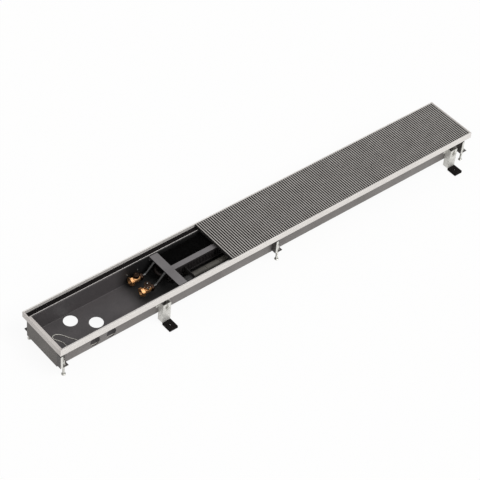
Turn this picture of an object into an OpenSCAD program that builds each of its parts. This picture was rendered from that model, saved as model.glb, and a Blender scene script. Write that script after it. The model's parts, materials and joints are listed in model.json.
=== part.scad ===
// Trench convector heater: a sheet trough with a levelling frame, a finned exchanger, a cross-flow fan and a
// grille of cross bars. X runs along the trough (fittings at -X), Y across it (fan side at -Y), Z is up.
// The origin is on the floor under the middle of the trough. Lengths are in millimetres.

/* [Trough] */
// Outer length of the frame
channel_l = 2250; // [1800:10:2600]
// Outer width of the frame
channel_w = 260; // [252:1:270]
// Height from the floor under the feet to the top of the frame
build_h = 160; // [155:1:175]
// Height of the trough from its underside to the top of the frame
trough_h = 115; // [112:1:120]
// Thickness of the trough's sheet
sheet_t = 1.2; // [0.8:0.1:1.6]
// Step from the frame's outer face in to the trough's side wall
wall_inset = 27.5; // [26:0.5:30]
// Outer radius of the trough's bends
bend_r = 3; // [2:0.5:5]
// Diameter of the two pipe holes in the floor
floor_hole_d = 60; // [50:1:64]
// Diameter of the two pipe holes in the side wall
side_hole_d = 46; // [30:1:50]
// First floor hole's distance from the left end
floor_hole_1_x = 186; // [170:1:200]
// Second floor hole's distance from the left end
floor_hole_2_x = 266; // [256:1:290]
// First floor hole's distance from the rear wall
floor_hole_1_wall = 36.3; // [33.3:0.5:41.3]
// Second floor hole's distance from the rear wall
floor_hole_2_wall = 103.3; // [97.3:0.5:107.3]
// Height of the side holes over the trough's underside
side_hole_z = 30; // [28:1:34]
// Reach of the end wall's tabs along the trough
tab_w = 15; // [12:1:20]

/* [Frame] */
// Height of the frame's outer face
frame_h = 29; // [28:1:34]
// Thickness of the frame's upright web
frame_web_t = 2; // [1.5:0.1:2.5]
// Width of the frame's top lip
lip_w = 5.2; // [4:0.1:6]
// Thickness of the frame's top lip
lip_t = 2; // [1.5:0.1:3]
// Depth of the ledge's top below the frame's top
ledge_depth = 19.5; // [19:0.1:21]
// Thickness of the ledge
ledge_t = 2; // [1.5:0.1:2.5]
// Width of the ledge from the frame's outer face
ledge_w = 24; // [22:0.5:25]
// Thickness of the rubber strip on the ledge
strip_t = 1.5; // [1:0.1:2]
// Width of the rubber strip
strip_w = 17; // [12:0.5:18]
// Leg of the corner keys
key_l = 22; // [16:1:23]
// Height of the corner keys
key_h = 5; // [3:0.5:6]
// Thickness of the corner keys
key_t = 2; // [1.5:0.1:3]

/* [Grille] */
// Number of grille bars
bar_count = 123; // [60:1:140]
// Spacing of the grille bars
bar_pitch = 11.25; // [10:0.05:12]
// Thickness of a grille bar
bar_t = 5.5; // [4:0.1:6.5]
// Gap between the grille and the frame's lip
grille_gap = 0.5; // [0.3:0.1:1]
// Radius of the rods that string the bars
rod_r = 2; // [1.5:0.1:2.5]
// Outer radius of the spacers between the bars
spacer_r = 4.5; // [4:0.1:5.5]
// Distance of each rod from the middle
rod_y = 78; // [60:1:90]

/* [Bridges and air guide] */
// Width of the bridge plates across the trough
bridge_w = 40; // [30:1:50]
// Thickness of the bridge plates
bridge_t = 1.5; // [1:0.1:2]
// Left bridge's middle from the left end
bridge_x = 627; // [610:1:640]
// Length of the bridges' end tabs
bridge_tab_h = 24; // [20:1:30]
// Right bridge's middle from the right end
bridge_right_x = 110; // [100:1:130]
// Width of the air guide's top
guide_w = 25; // [20:1:26]
// Place of the air guide's front face across the trough
guide_y = -16; // [-18:0.5:-14]
// Thickness of the air guide's sheet
guide_t = 1; // [0.8:0.1:1.2]
// Depth of the air guide's slotted front face
guide_front_h = 55; // [50:1:60]
// Depth of the air guide's rear face
guide_rear_h = 3; // [2:0.5:4]
// Spacing of the air guide's slots
slot_pitch = 8; // [7:0.5:12]
// Width of a slot
slot_w = 3.5; // [2:0.1:4.5]
// Length of a slot
slot_l = 38; // [30:1:42]

/* [Exchanger] */
// Height of a fin
fin_h = 50; // [48:1:52]
// Width of a fin
fin_w = 102; // [100:1:104]
// Thickness of a fin
fin_t = 0.5; // [0.3:0.1:0.8]
// Spacing of the fins
fin_pitch = 8; // [6:0.5:12]
// Outer radius of the copper tubes
tube_r = 7.5; // [6:0.5:8]
// Wall of the copper tubes
tube_wall = 1; // [0.7:0.1:1.2]
// Spacing of the tubes across the trough
tube_dy = 74; // [72:1:76]
// Spacing of the tubes in height
tube_dz = 25; // [24:1:26]
// Thickness of the exchanger's end plates
end_plate_t = 1.5; // [1:0.1:2]
// Gap between the fins' top and the bridges
fin_drop = 4; // [3:0.5:5]
// Gap between the fins and the rear wall
fin_gap = 10; // [9:0.5:11]

/* [Valves and pipes] */
// Distance of the valves' middle from the left end
valve_x = 524; // [516:1:526]
// Height of the valves' axis over the trough's underside
valve_rise = 30; // [28:1:33]
// Radius of the valve's body
valve_r = 13; // [12:0.5:14]
// Length of the valve's body
valve_l = 34; // [32:1:38]
// Width across the flats of the valve's inlet
inlet_af = 32; // [30:1:34]
// Length of the valve's inlet
inlet_l = 16; // [14:0.5:18]
// Radius of the inlet's threaded bore
inlet_bore_r = 10.5; // [10:0.1:11]
// Depth of the inlet's threaded bore
inlet_bore_l = 13; // [10:0.5:13.5]
// Width across the flats of the union nuts
union_af = 30; // [28:1:31]
// Length of the union nuts
union_l = 15; // [14:0.5:17]
// Radius of the thermostatic head's thread
head_thread_r = 15; // [14:0.5:16]
// Height of the thermostatic head's thread
head_thread_h = 9; // [7:0.5:10]
// Radius of the valve pin
pin_r = 2.5; // [2:0.1:3]
// Travel of the valve pin
pin_travel = 2.5; // [2:0.1:3]
// Radius of the regulating cap
cap_r = 13; // [12:0.5:14]
// Height of the regulating cap
cap_h = 14; // [12:0.5:16]
// Radius of the pipe bends' middle line
pipe_bend_r = 22; // [20:1:24]
// Slope of the pipes between their bends, in degrees
pipe_slope = 45; // [40:1:50]

/* [Fan] */
// Radius of the impellers
impeller_r = 24; // [20:0.5:25]
// Depth of an impeller blade
blade_w = 7; // [5:0.5:8]
// Thickness of an impeller blade
blade_t = 1.2; // [1:0.1:1.5]
// Number of impeller blades
blade_count = 14; // [10:1:16]
// Number of bays between the impeller's discs
bay_count = 10; // [6:1:14]
// Thickness of the impeller's discs
disc_t = 2; // [1.5:0.5:3]
// Depth of the fan's axis below the bridges
fan_drop = 40.8; // [38.8:0.5:42.3]
// Distance of the fan's axis from the front wall
fan_wall = 33.3; // [32.3:0.5:35.3]
// Radius of the fan's shaft
shaft_r = 3; // [2.5:0.1:4]
// Radius of the fan's motor
motor_r = 22; // [20:0.5:24]
// Length of the fan's motor
motor_l = 40; // [36:1:42]
// Thickness of the fan's brackets
bracket_t = 2; // [1.5:0.1:2.5]
// Outer radius of the rubber bearing bushes
bush_r = 9; // [8:0.5:10]
// Gap between the impeller and the scroll
scroll_gap = 4; // [3:0.5:5]

/* [Feet] */
// Distance of the end levelling screws from the trough's ends
foot_x = 24; // [23:1:30]
// Radius of the levelling screws
level_r = 5; // [4:0.1:5.5]
// Radius of the levelling screw's foot
level_foot_r = 9; // [8:0.5:10]
// Thickness of the levelling screw's foot
level_foot_t = 5; // [4:0.5:6]
// Length of the levelling screws over their nuts
level_show = 19; // [11:1:25]
// Thickness of the levelling brackets
level_t = 2; // [1.5:0.1:2.5]
// Width of the levelling brackets
level_w = 38; // [36:1:42]
// Height of the levelling bracket's seat over the trough's underside
level_rise = 12; // [9:1:15]
// Gap between the levelling brackets and the trough's flange
level_top_gap = 14.3; // [10.3:1:22.3]
// Width of the levelling bracket's front flange
level_lip_w = 11; // [8:1:12]
// First anchor's distance from the left end
anchor_left_x = 521; // [480:1:560]
// Second anchor's distance from the right end
anchor_right_x = 102; // [90:1:120]
// Width of the anchor brackets
anchor_w = 40; // [38:1:44]
// Thickness of the anchor's sheet
anchor_t = 2; // [1.5:0.1:2.5]
// Gap between the anchor brackets and the trough's flange
anchor_top_gap = 27.3; // [23.3:1:31.3]
// How far the anchor brackets stand proud of the frame's outer face
anchor_proud = 4; // [3:0.5:6]
// Width of the rubber pads
pad_w = 42; // [40:1:46]
// Reach of the rubber pads
pad_l = 50; // [46:1:54]
// Thickness of the rubber pads
pad_t = 12; // [10:1:13]
// Radius of the screw hole in the pads
pad_hole_r = 4; // [3:0.5:5]

/* [Connection] */
// Length of the terminal box
box_l = 70; // [60:1:76]
// Width of the terminal box
box_w = 29; // [26:1:31]
// Height of the terminal box
box_h = 24; // [20:1:26]
// Wall of the terminal box
box_wall = 2; // [1.5:0.1:2.5]
// Distance of the terminal box from the left end
box_x = 60; // [50:1:64]
// Diameter of the fan's lead
lead_d = 2.4; // [2:0.1:3]

/* [Hidden] */
fine = 48;
round_fine = 96;
over = 1;
fit = 0.3;
run = 0.05;
shade = [0.29, 0.28, 0.28];
half_l = channel_l / 2;
half_w = channel_w / 2;
floor_z = build_h - trough_h;
floor_top = floor_z + sheet_t;
wall_y = half_w - wall_inset;
inner_y = wall_y - sheet_t;
ledge_top = build_h - ledge_depth;
ledge_low = ledge_top - ledge_t;
web_in = half_w - frame_web_t;
end_x = half_l - frame_web_t - fit;
trough_x = end_x - sheet_t;
flange_low = ledge_low - sheet_t;
bridge_top = flange_low;
bridge_low = bridge_top - bridge_t;
valve_z = floor_z + valve_rise;
fan_y = inner_y - fan_wall;
level_seat_z = floor_z + level_rise;
level_h = flange_low - level_top_gap - level_seat_z + level_t;
anchor_top = flange_low - anchor_top_gap;

// Sizes of the small fasteners
rivet_r = 2;
rivet_head_r = 4;
rivet_head_h = 1.2;
screw_r = 2;
screw_head_r = 4;
screw_head_h = 2.2;
screw_tail = 3;

// A hexagonal bar with its flats at the given distance, along Z.
module hex_bar(flats, h) {
    cylinder(r = flats / 2 / cos(30), h = h, $fn = 6);
}

// A cylinder whose axis runs along X from the origin.
module rod_x(r, l) {
    rotate([0, 90, 0]) cylinder(r = r, h = l, $fn = fine);
}

// A pan-head screw or rivet with its head on the side of +Z.
module fastener(r, tail, head_r, head_h) {
    translate([0, 0, -tail]) cylinder(r = r, h = tail + head_h / 2, $fn = fine);
    cylinder(r = head_r, h = head_h, $fn = fine);
}

// Copies its children to both long sides.
module both_sides() {
    children();
    mirror([0, 1, 0]) children();
}

// Places for the holes
floor_holes = [[floor_hole_1_x - half_l, inner_y - floor_hole_1_wall],
    [floor_hole_2_x - half_l, inner_y - floor_hole_2_wall]];
side_hole_h = floor_z + side_hole_z;
anchor_xs = [anchor_left_x - half_l, half_l - anchor_right_x];
level_xs = [foot_x - half_l, 0, half_l - foot_x];
bridge_xs = [bridge_x - half_l, (bridge_x - bridge_right_x) / 2, half_l - bridge_right_x];

// Heights and offsets of the screws that hold things to the side walls
level_screw_dx = 8;
level_screw_shares = [0.24, 0.68];
level_screw_low = level_seat_z + level_screw_shares[0] * level_h;
level_screw_top = level_seat_z + level_screw_shares[1] * level_h;
anchor_flange_w = 14;
anchor_screw_dx = anchor_w / 2 + anchor_flange_w / 2;
anchor_screw_z = anchor_top - anchor_flange_w;
bridge_screw_z = bridge_low - bridge_tab_h / 2;
bridge_screw_dx = bridge_w / 4;

// Section of the trough: floor, two bends, two walls and a flange out under each ledge
module trough_section() {
    translate([-wall_y + bend_r, floor_z]) square([2 * (wall_y - bend_r), sheet_t]);
    for (side = [-1, 1]) {
        translate([side * (wall_y - sheet_t / 2) - sheet_t / 2, floor_z + bend_r])
            square([sheet_t, ledge_low - floor_z - bend_r]);
        translate([side * (wall_y - bend_r), floor_z + bend_r])
            intersection() {
                difference() {
                    circle(r = bend_r, $fn = fine);
                    circle(r = bend_r - sheet_t, $fn = fine);
                }
                translate([side > 0 ? 0 : -bend_r, -bend_r]) square([bend_r, bend_r]);
            }
        translate([side > 0 ? wall_y - sheet_t : -web_in + fit, flange_low])
            square([web_in - fit - wall_y + sheet_t, sheet_t]);
    }
}

// Drills the side walls on both sides for a screw.
module side_drill(x, z, r, sides = [-1, 1]) {
    for (side = sides)
        translate([x, side * wall_y, z])
            rotate([90, 0, 0]) cylinder(r = r, h = 2 * sheet_t + 2 * over, center = true, $fn = fine);
}

module trough() {
    color(shade)
    difference() {
        translate([-trough_x, 0, 0]) rotate([90, 0, 90]) linear_extrude(2 * trough_x) trough_section();
        for (p = floor_holes)
            translate([p[0], p[1], floor_z - over])
                cylinder(d = floor_hole_d, h = sheet_t + 2 * over, $fn = round_fine);
        for (p = floor_holes)
            translate([p[0], -inner_y + over, side_hole_h])
                rotate([90, 0, 0])
                    cylinder(d = side_hole_d, h = sheet_t + 2 * over, $fn = round_fine);
        for (side = [-1, 1], x = level_xs, z = [level_screw_low, level_screw_top])
            side_drill(x - side * level_screw_dx, z, screw_r, [side]);
        for (x = anchor_xs, s = [-1, 1])
            side_drill(x + s * anchor_screw_dx, anchor_screw_z, screw_r);
        for (x = bridge_xs, s = [-1, 1])
            side_drill(x + s * bridge_screw_dx, bridge_screw_z, screw_r);
        for (e = [-1, 1], z = rivet_zs)
            side_drill(e * rivet_x, z, rivet_r);
    }
}

// End walls: a plate that closes the trough, with three tabs folded in.
rivet_x = trough_x - tab_w / 2;
tab_low = floor_top + bend_r;
tab_high = flange_low - 2 * bend_r;
rivet_inset = 10;
rivet_zs = [tab_low + rivet_inset, tab_high - rivet_inset];

module end_wall() {
    color(shade)
    difference() {
        union() {
            translate([-end_x, -wall_y, floor_z]) cube([sheet_t, 2 * wall_y, ledge_low - floor_z]);
            both_sides()
                translate([-trough_x - sheet_t / 2, inner_y - sheet_t, tab_low])
                    cube([tab_w + sheet_t / 2, sheet_t, tab_high - tab_low]);
            translate([-trough_x - sheet_t / 2, -inner_y + bend_r + tab_w, floor_top])
                cube([tab_w + sheet_t / 2, 2 * (inner_y - bend_r - tab_w), sheet_t]);
        }
        for (z = rivet_zs)
            side_drill_deep(-rivet_x, z, rivet_r);
        for (side = [-1, 1], z = [level_screw_low, level_screw_top])
            side_drill_deep(level_xs[0] - side * level_screw_dx, z, screw_r, [side]);
    }
}

// Drills the side walls and a tab that lies on their inner face.
module side_drill_deep(x, z, r, sides = [-1, 1]) {
    for (side = sides)
        translate([x, side * inner_y, z])
            rotate([90, 0, 0]) cylinder(r = r, h = 4 * sheet_t + 2 * over, center = true, $fn = fine);
}

module end_wall_left() {
    end_wall();
}

module end_wall_right() {
    rotate([0, 0, 180]) end_wall();
}

module end_wall_rivets() {
    color([0.7, 0.7, 0.7])
    both_sides()
        for (e = [-1, 1], z = rivet_zs)
            translate([e * rivet_x, inner_y - sheet_t, z])
                rotate([90, 0, 0]) fastener(rivet_r - run, 2 * sheet_t, rivet_head_r, rivet_head_h);
}

// Frame: an F-shaped profile whose four lengths meet at mitres.
module frame_section() {
    translate([0, -frame_h]) square([frame_web_t, frame_h]);
    translate([0, -lip_t]) square([lip_w, lip_t]);
    translate([0, -ledge_depth - ledge_t]) square([ledge_w, ledge_t]);
}

module frame_long() {
    color([0.9, 0.89, 0.88])
    intersection() {
        translate([-half_l, -half_w, build_h]) rotate([90, 0, 90]) linear_extrude(channel_l) frame_section();
        translate([0, 0, build_h - frame_h - over])
            linear_extrude(frame_h + 2 * over)
                polygon([[-half_l, -half_w], [half_l, -half_w], [half_l - half_w, 0], [half_w - half_l, 0]]);
    }
}

module frame_end() {
    color([0.9, 0.89, 0.88])
    intersection() {
        translate([-half_l, half_w, build_h]) rotate([90, 0, 0]) linear_extrude(channel_w) frame_section();
        translate([0, 0, build_h - frame_h - over])
            linear_extrude(frame_h + 2 * over)
                polygon([[-half_l, -half_w], [half_w - half_l, 0], [-half_l, half_w]]);
    }
}

module frame_front() {
    frame_long();
}

module frame_rear() {
    mirror([0, 1, 0]) frame_long();
}

module frame_left() {
    frame_end();
}

module frame_right() {
    mirror([1, 0, 0]) frame_end();
}

module frame_corner_keys() {
    key_z = flange_low - key_h;
    color([0.6, 0.6, 0.6])
    for (e = [-1, 1], side = [-1, 1])
        scale([e, side, 1])
            translate([0, 0, key_z]) {
                translate([half_l - frame_web_t - key_l, web_in - key_t, 0]) cube([key_l, key_t, key_h]);
                translate([half_l - frame_web_t - key_t, web_in - key_l, 0]) cube([key_t, key_l, key_h]);
            }
}

module ledge_strips() {
    strip_out = half_w - frame_web_t - fit;
    color([0.07, 0.07, 0.07]) {
        both_sides()
            translate([-half_l + frame_web_t + fit, strip_out - strip_w, ledge_top])
                cube([channel_l - 2 * (frame_web_t + fit), strip_w, strip_t]);
        for (e = [-1, 1])
            translate([e > 0 ? half_l - frame_web_t - fit - strip_w : -half_l + frame_web_t + fit,
                       -strip_out + strip_w + fit, ledge_top])
                cube([strip_w, 2 * (strip_out - strip_w - fit), strip_t]);
    }
}

// Grille: cross bars strung on two rods, with spacers between them.
grille_right = half_l - lip_w - grille_gap;
grille_half = half_w - lip_w - grille_gap;
bar_low = ledge_top + strip_t;
bar_h = build_h - bar_low;
rod_z = bar_low + bar_h / 2;
grille_left = grille_right - (bar_count - 1) * bar_pitch - bar_t;
bar_chamfer = 0.8;

module grille_bars() {
    color([0.69, 0.67, 0.66])
    for (i = [0 : bar_count - 1])
        translate([grille_left + i * bar_pitch, 0, bar_low])
            difference() {
                translate([0, grille_half, 0]) rotate([90, 0, 0]) linear_extrude(2 * grille_half)
                    polygon([[0, 0], [bar_t, 0], [bar_t, bar_h - bar_chamfer], [bar_t - bar_chamfer, bar_h],
                             [bar_chamfer, bar_h], [0, bar_h - bar_chamfer]]);
                for (side = [-1, 1])
                    translate([-over, side * rod_y, bar_h / 2]) rod_x(rod_r + run, bar_t + 2 * over);
            }
}

module grille_rods() {
    color([0.6, 0.6, 0.6])
    for (side = [-1, 1])
        translate([grille_left + bar_chamfer, side * rod_y, rod_z])
            rod_x(rod_r, grille_right - grille_left - 2 * bar_chamfer);
}

module grille_spacers() {
    color([0.1, 0.1, 0.1])
    for (i = [0 : bar_count - 2], side = [-1, 1])
        translate([grille_left + i * bar_pitch + bar_t, side * rod_y, rod_z])
            difference() {
                rod_x(spacer_r, bar_pitch - bar_t);
                translate([-over, 0, 0]) rod_x(rod_r + run, bar_pitch - bar_t + 2 * over);
            }
}

// Bridges: plates across the trough, with a tab at each end screwed to the walls.
module bridge(x) {
    color([0.42, 0.41, 0.42])
    translate([x, 0, 0])
        difference() {
            union() {
                translate([-bridge_w / 2, -inner_y, bridge_low]) cube([bridge_w, 2 * inner_y, bridge_t]);
                both_sides()
                    translate([-bridge_w / 2, inner_y - bridge_t, bridge_low - bridge_tab_h])
                        cube([bridge_w, bridge_t, bridge_tab_h + bridge_t / 2]);
            }
            for (s = [-1, 1], side = [-1, 1])
                translate([s * bridge_screw_dx, side * inner_y, bridge_screw_z])
                    rotate([90, 0, 0])
                        cylinder(r = screw_r, h = 2 * bridge_t + 2 * over, center = true, $fn = fine);
        }
}

module bridge_left() {
    bridge(bridge_xs[0]);
}

module bridge_middle() {
    bridge(bridge_xs[1]);
}

module bridge_right() {
    bridge(bridge_xs[2]);
}

module bridge_screws() {
    color([0.65, 0.65, 0.65])
    both_sides()
        for (x = bridge_xs, s = [-1, 1])
            translate([x + s * bridge_screw_dx, inner_y - bridge_t, bridge_screw_z])
                rotate([90, 0, 0])
                    fastener(screw_r - run, bridge_t + sheet_t + screw_tail / 2, screw_head_r, screw_head_h);
}

// Air guide: an inverted channel under the bridges, slotted on the fan's side.
guide_left = bridge_xs[0] - bridge_w / 4;
guide_right = bridge_xs[2] + bridge_w / 4;
slot_count = floor((guide_right - guide_left - 2 * slot_pitch) / slot_pitch);
slot_margin = 10;

module air_guide() {
    guide_l = guide_right - guide_left;
    color([0.42, 0.41, 0.42]) {
        translate([guide_left, guide_y, bridge_low - guide_t]) cube([guide_l, guide_w, guide_t]);
        translate([guide_left, guide_y + guide_w - guide_t, bridge_low - guide_rear_h])
            cube([guide_l, guide_t, guide_rear_h]);
        translate([guide_left, guide_y + guide_t, bridge_low - guide_front_h])
            rotate([90, 0, 0]) linear_extrude(guide_t)
                difference() {
                    square([guide_l, guide_front_h]);
                    for (i = [0 : slot_count - 1])
                        translate([slot_pitch * (i + 1), guide_front_h - slot_margin - slot_l])
                            square([slot_w, slot_l]);
                }
    }
}

// Exchanger: fins on four tubes, held by an end plate at each end.
fin_top = bridge_low - fin_drop;
fin_low = fin_top - fin_h;
exch_y = inner_y - fin_gap - fin_w / 2;
tube_ys = [exch_y - tube_dy / 2, exch_y + tube_dy / 2];
tube_zs = [fin_top - (fin_h - tube_dz) / 2, fin_top - (fin_h + tube_dz) / 2];
exch_left = bridge_xs[0] + bridge_w / 2;
exch_right = bridge_xs[2] - 2 * bridge_w;
tube_stub = 6;
fin_count = floor((exch_right - exch_left - 2 * end_plate_t) / fin_pitch) - 1;
plate_tab = 12;
plate_hole_gap = 0.05;

module exchanger_fins() {
    color([0.13, 0.13, 0.13])
    for (i = [1 : fin_count])
        translate([exch_left + i * fin_pitch, 0, 0])
            difference() {
                translate([0, exch_y - fin_w / 2, fin_low]) cube([fin_t, fin_w, fin_h]);
                for (y = tube_ys, z = tube_zs)
                    translate([-over, y, z]) rod_x(tube_r + plate_hole_gap, fin_t + 2 * over);
            }
}

module tube_bar(l) {
    difference() {
        rod_x(tube_r, l);
        translate([-over, 0, 0]) rod_x(tube_r - tube_wall, l + 2 * over);
    }
}

module exchanger_tubes() {
    color([0.72, 0.45, 0.3])
    for (y = tube_ys, z = tube_zs)
        translate([exch_left - tube_stub, y, z]) tube_bar(exch_right - exch_left + 2 * tube_stub);
}

// A tube bent through a half turn in the plane of Y and Z offsets, opening towards -X.
module half_turn(span) {
    rotate([0, 0, -90]) rotate_extrude(angle = 180, $fn = fine)
        translate([span / 2, 0])
            difference() {
                circle(r = tube_r, $fn = fine);
                circle(r = tube_r - tube_wall, $fn = fine);
            }
}

module exchanger_bends() {
    mid_z = (tube_zs[0] + tube_zs[1]) / 2;
    color([0.72, 0.45, 0.3]) {
        for (y = tube_ys)
            translate([exch_right + tube_stub, y, mid_z]) rotate([90, 0, 0]) half_turn(tube_dz);
        translate([exch_left - tube_stub, exch_y, tube_zs[1]]) mirror([1, 0, 0]) half_turn(tube_dy);
        translate([vent_x, tube_ys[1], vent_z - vent_boss_h - tube_wall])
            intersection() {
                cylinder(r = vent_boss_r, h = vent_boss_h + tube_wall, $fn = fine);
                translate([-vent_step, -vent_boss_r, 0])
                    cube([vent_step + vent_boss_r, 2 * vent_boss_r, vent_boss_h + tube_wall]);
            }
    }
}

module end_plate(x, way) {
    translate([x, 0, 0])
        difference() {
            union() {
                translate([0, exch_y - fin_w / 2, floor_top])
                    cube([end_plate_t, fin_w, fin_top - floor_top]);
                translate([way > 0 ? 0 : end_plate_t - plate_tab, exch_y - fin_w / 2, floor_top])
                    cube([plate_tab, fin_w, end_plate_t]);
            }
            for (y = tube_ys, z = tube_zs)
                translate([-over, y, z]) rod_x(tube_r + plate_hole_gap, end_plate_t + 2 * over);
        }
}

module exchanger_end_plates() {
    color([0.5, 0.5, 0.5]) {
        end_plate(exch_left, 1);
        end_plate(exch_right - end_plate_t, -1);
    }
}

// Air vent: a hexagonal plug on a boss at the return tube's far end, with a slotted screw in it.
vent_af = 12;
vent_h = 7;
vent_boss_r = 5;
vent_boss_h = 3;
vent_screw_r = 2.5;
vent_screw_l = 5;
vent_slot = 1;
vent_head_r = 4;
vent_head_h = 2;
vent_step = 2;
vent_x = exch_right + tube_stub + vent_step;
vent_z = tube_zs[0] + tube_r + vent_boss_h;

module air_vent_body() {
    color([0.78, 0.6, 0.33])
    translate([vent_x, tube_ys[1], vent_z])
        difference() {
            hex_bar(vent_af, vent_h);
            translate([0, 0, vent_h - vent_screw_l])
                cylinder(r = vent_screw_r + run, h = vent_screw_l + over, $fn = fine);
        }
}

module air_vent_screw() {
    color([0.8, 0.8, 0.8])
    translate([vent_x, tube_ys[1], vent_z + vent_h])
        difference() {
            union() {
                translate([0, 0, fit - vent_screw_l])
                    cylinder(r = vent_screw_r, h = vent_screw_l, $fn = fine);
                translate([0, 0, fit]) cylinder(r = vent_head_r, h = vent_head_h, $fn = fine);
            }
            translate([-vent_head_r - over, -vent_slot / 2, fit + vent_head_h - vent_slot])
                cube([2 * (vent_head_r + over), vent_slot, vent_slot + over]);
        }
}

// Sweeps: points round a place in the plane square to a heading, and the triangles between such rings.
function unit(v) = v / norm(v);
function ring(place, heading, r, sides) =
    let (side = unit(cross(heading, [0, 0, 1])), up = cross(side, heading))
    [for (k = [0 : sides - 1])
        place + r * (cos(360 * k / sides) * side + sin(360 * k / sides) * up)];
function skin(first, count, sides) =
    [for (i = [0 : count - 2], k = [0 : sides - 1])
        let (a = first + i * sides + k, b = first + i * sides + (k + 1) % sides)
        each [[a, a + sides, b], [b, a + sides, b + sides]]];
function turned(faces) = [for (f = faces) [f[2], f[1], f[0]]];
function rim(outer, inner, sides) =
    [for (k = [0 : sides - 1])
        let (n = (k + 1) % sides)
        each [[outer + k, outer + n, inner + n], [outer + k, inner + n, inner + k]]];

// Pipes: each rises from a valve's union to the exchanger's upper tube in two bends.
valve_mid = valve_x - half_l;
pipe_start = valve_mid + valve_l / 2 + union_l / 2;
pipe_end = exch_left - tube_stub;
pipe_rise = tube_zs[0] - valve_z;
bend_dx = pipe_bend_r * sin(pipe_slope);
bend_dz = pipe_bend_r * (1 - cos(pipe_slope));
pipe_run = 2 * bend_dx + (pipe_rise - 2 * bend_dz) / tan(pipe_slope);
pipe_tail = (pipe_end - pipe_start - pipe_run) / 2;
bend_steps = 6;
pipe_sides = 24;

// Each stop on the way is X, Z and slope.
pipe_stops = concat([[pipe_start, valve_z, 0]],
    [for (i = [0 : bend_steps])
        let (a = pipe_slope * i / bend_steps)
        [pipe_start + pipe_tail + pipe_bend_r * sin(a), valve_z + pipe_bend_r * (1 - cos(a)), a]],
    [for (i = [bend_steps : -1 : 0])
        let (a = pipe_slope * i / bend_steps)
        [pipe_end - pipe_tail - pipe_bend_r * sin(a), tube_zs[0] - pipe_bend_r * (1 - cos(a)), a]],
    [[pipe_end, tube_zs[0], 0]]);

module riser(y) {
    count = len(pipe_stops);
    inner = count * pipe_sides;
    last = (count - 1) * pipe_sides;
    rings = [for (r = [tube_r, tube_r - tube_wall], p = pipe_stops)
        each ring([p[0], y, p[1]], [cos(p[2]), 0, sin(p[2])], r, pipe_sides)];
    polyhedron(rings, concat(skin(0, count, pipe_sides), turned(skin(inner, count, pipe_sides)),
        rim(0, inner, pipe_sides), turned(rim(last, inner + last, pipe_sides))));
}

module supply_pipe() {
    color([0.72, 0.45, 0.3]) riser(tube_ys[0]);
}

module return_pipe() {
    color([0.72, 0.45, 0.3]) riser(tube_ys[1]);
}

module union_nuts() {
    color([0.72, 0.55, 0.3])
    for (y = tube_ys)
        translate([valve_mid + valve_l / 2, y, valve_z])
            difference() {
                rotate([0, 90, 0]) hex_bar(union_af, union_l);
                translate([-over, 0, 0]) rod_x(tube_r + plate_hole_gap, union_l + 2 * over);
            }
}

// Valves: a body along X with a hexagonal threaded inlet and a neck on top.
neck_r = 11;
neck_h = 24;
collar_af = 27;
collar_h = 7;
pin_seat_l = 10;
pin_show = 5;
cap_top_t = 3;
cap_flute_r = 1.5;
cap_flutes = 12;
spigot_l = union_l / 2 - fit;

module valve_body(with_collar) {
    inlet_x = -valve_l / 2 - inlet_l;
    difference() {
        union() {
            translate([-valve_l / 2, 0, 0]) rod_x(valve_r, valve_l);
            translate([inlet_x, 0, 0]) rotate([0, 90, 0]) hex_bar(inlet_af, inlet_l + over);
            cylinder(r = neck_r, h = neck_h, $fn = fine);
            if (with_collar)
                translate([0, 0, neck_h - collar_h]) hex_bar(collar_af, collar_h);
            rod_x(tube_r, valve_l / 2 + spigot_l);
        }
        translate([inlet_x - over, 0, 0]) rod_x(inlet_bore_r, inlet_bore_l + over);
    }
}

module thermostatic_valve() {
    bore_l = pin_seat_l + pin_travel + fit;
    color([0.72, 0.55, 0.3])
    translate([valve_mid, tube_ys[0], valve_z])
        difference() {
            union() {
                valve_body(true);
                translate([0, 0, neck_h]) cylinder(r = head_thread_r, h = head_thread_h, $fn = fine);
            }
            translate([0, 0, neck_h + head_thread_h - bore_l])
                cylinder(r = pin_r + run, h = bore_l + over, $fn = fine);
        }
}

module valve_pin() {
    color([0.85, 0.85, 0.85])
    translate([valve_mid, tube_ys[0], valve_z + neck_h + head_thread_h - pin_seat_l])
        cylinder(r = pin_r, h = pin_seat_l + pin_show, $fn = fine);
}

module regulating_valve() {
    color([0.72, 0.55, 0.3])
    translate([valve_mid, tube_ys[1], valve_z]) valve_body(false);
}

module regulating_cap() {
    color([0.78, 0.6, 0.33])
    translate([valve_mid, tube_ys[1], valve_z + neck_h + fit])
        difference() {
            translate([0, 0, cap_top_t - cap_h]) cylinder(r = cap_r, h = cap_h, $fn = fine);
            translate([0, 0, cap_top_t - cap_h - over])
                cylinder(r = neck_r + run, h = cap_h - cap_top_t + over, $fn = fine);
            for (i = [0 : cap_flutes - 1])
                rotate([0, 0, 360 * i / cap_flutes])
                    translate([cap_r + cap_flute_r / 2, 0, cap_top_t - cap_h - over])
                        cylinder(r = cap_flute_r, h = cap_h + 2 * over, $fn = fine);
        }
}

// Fan: one shaft along X carries two impellers, between a motor and two bearings.
axis_y = -fan_y;
axis_z = bridge_low - fan_drop;
motor_gap = 10;
fan_left = exch_left + motor_gap + motor_l;
fan_right = exch_right + bridge_w;
bracket_xs = [fan_left, (fan_left + fan_right) / 2, fan_right];
bracket_gap = 6;
bracket_tab = 14;
bracket_y = -inner_y + bridge_t + fit;
bracket_top = axis_z + impeller_r + 2 * scroll_gap;
shaft_in = 20;
impeller_bore = shaft_r + run;
ring_rim = 2;
ring_w = blade_w + ring_rim;
blade_rake = 30;
motor_cap_r = 12;
motor_cap_l = 5;
scroll_rise_share = 1.6;

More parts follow.
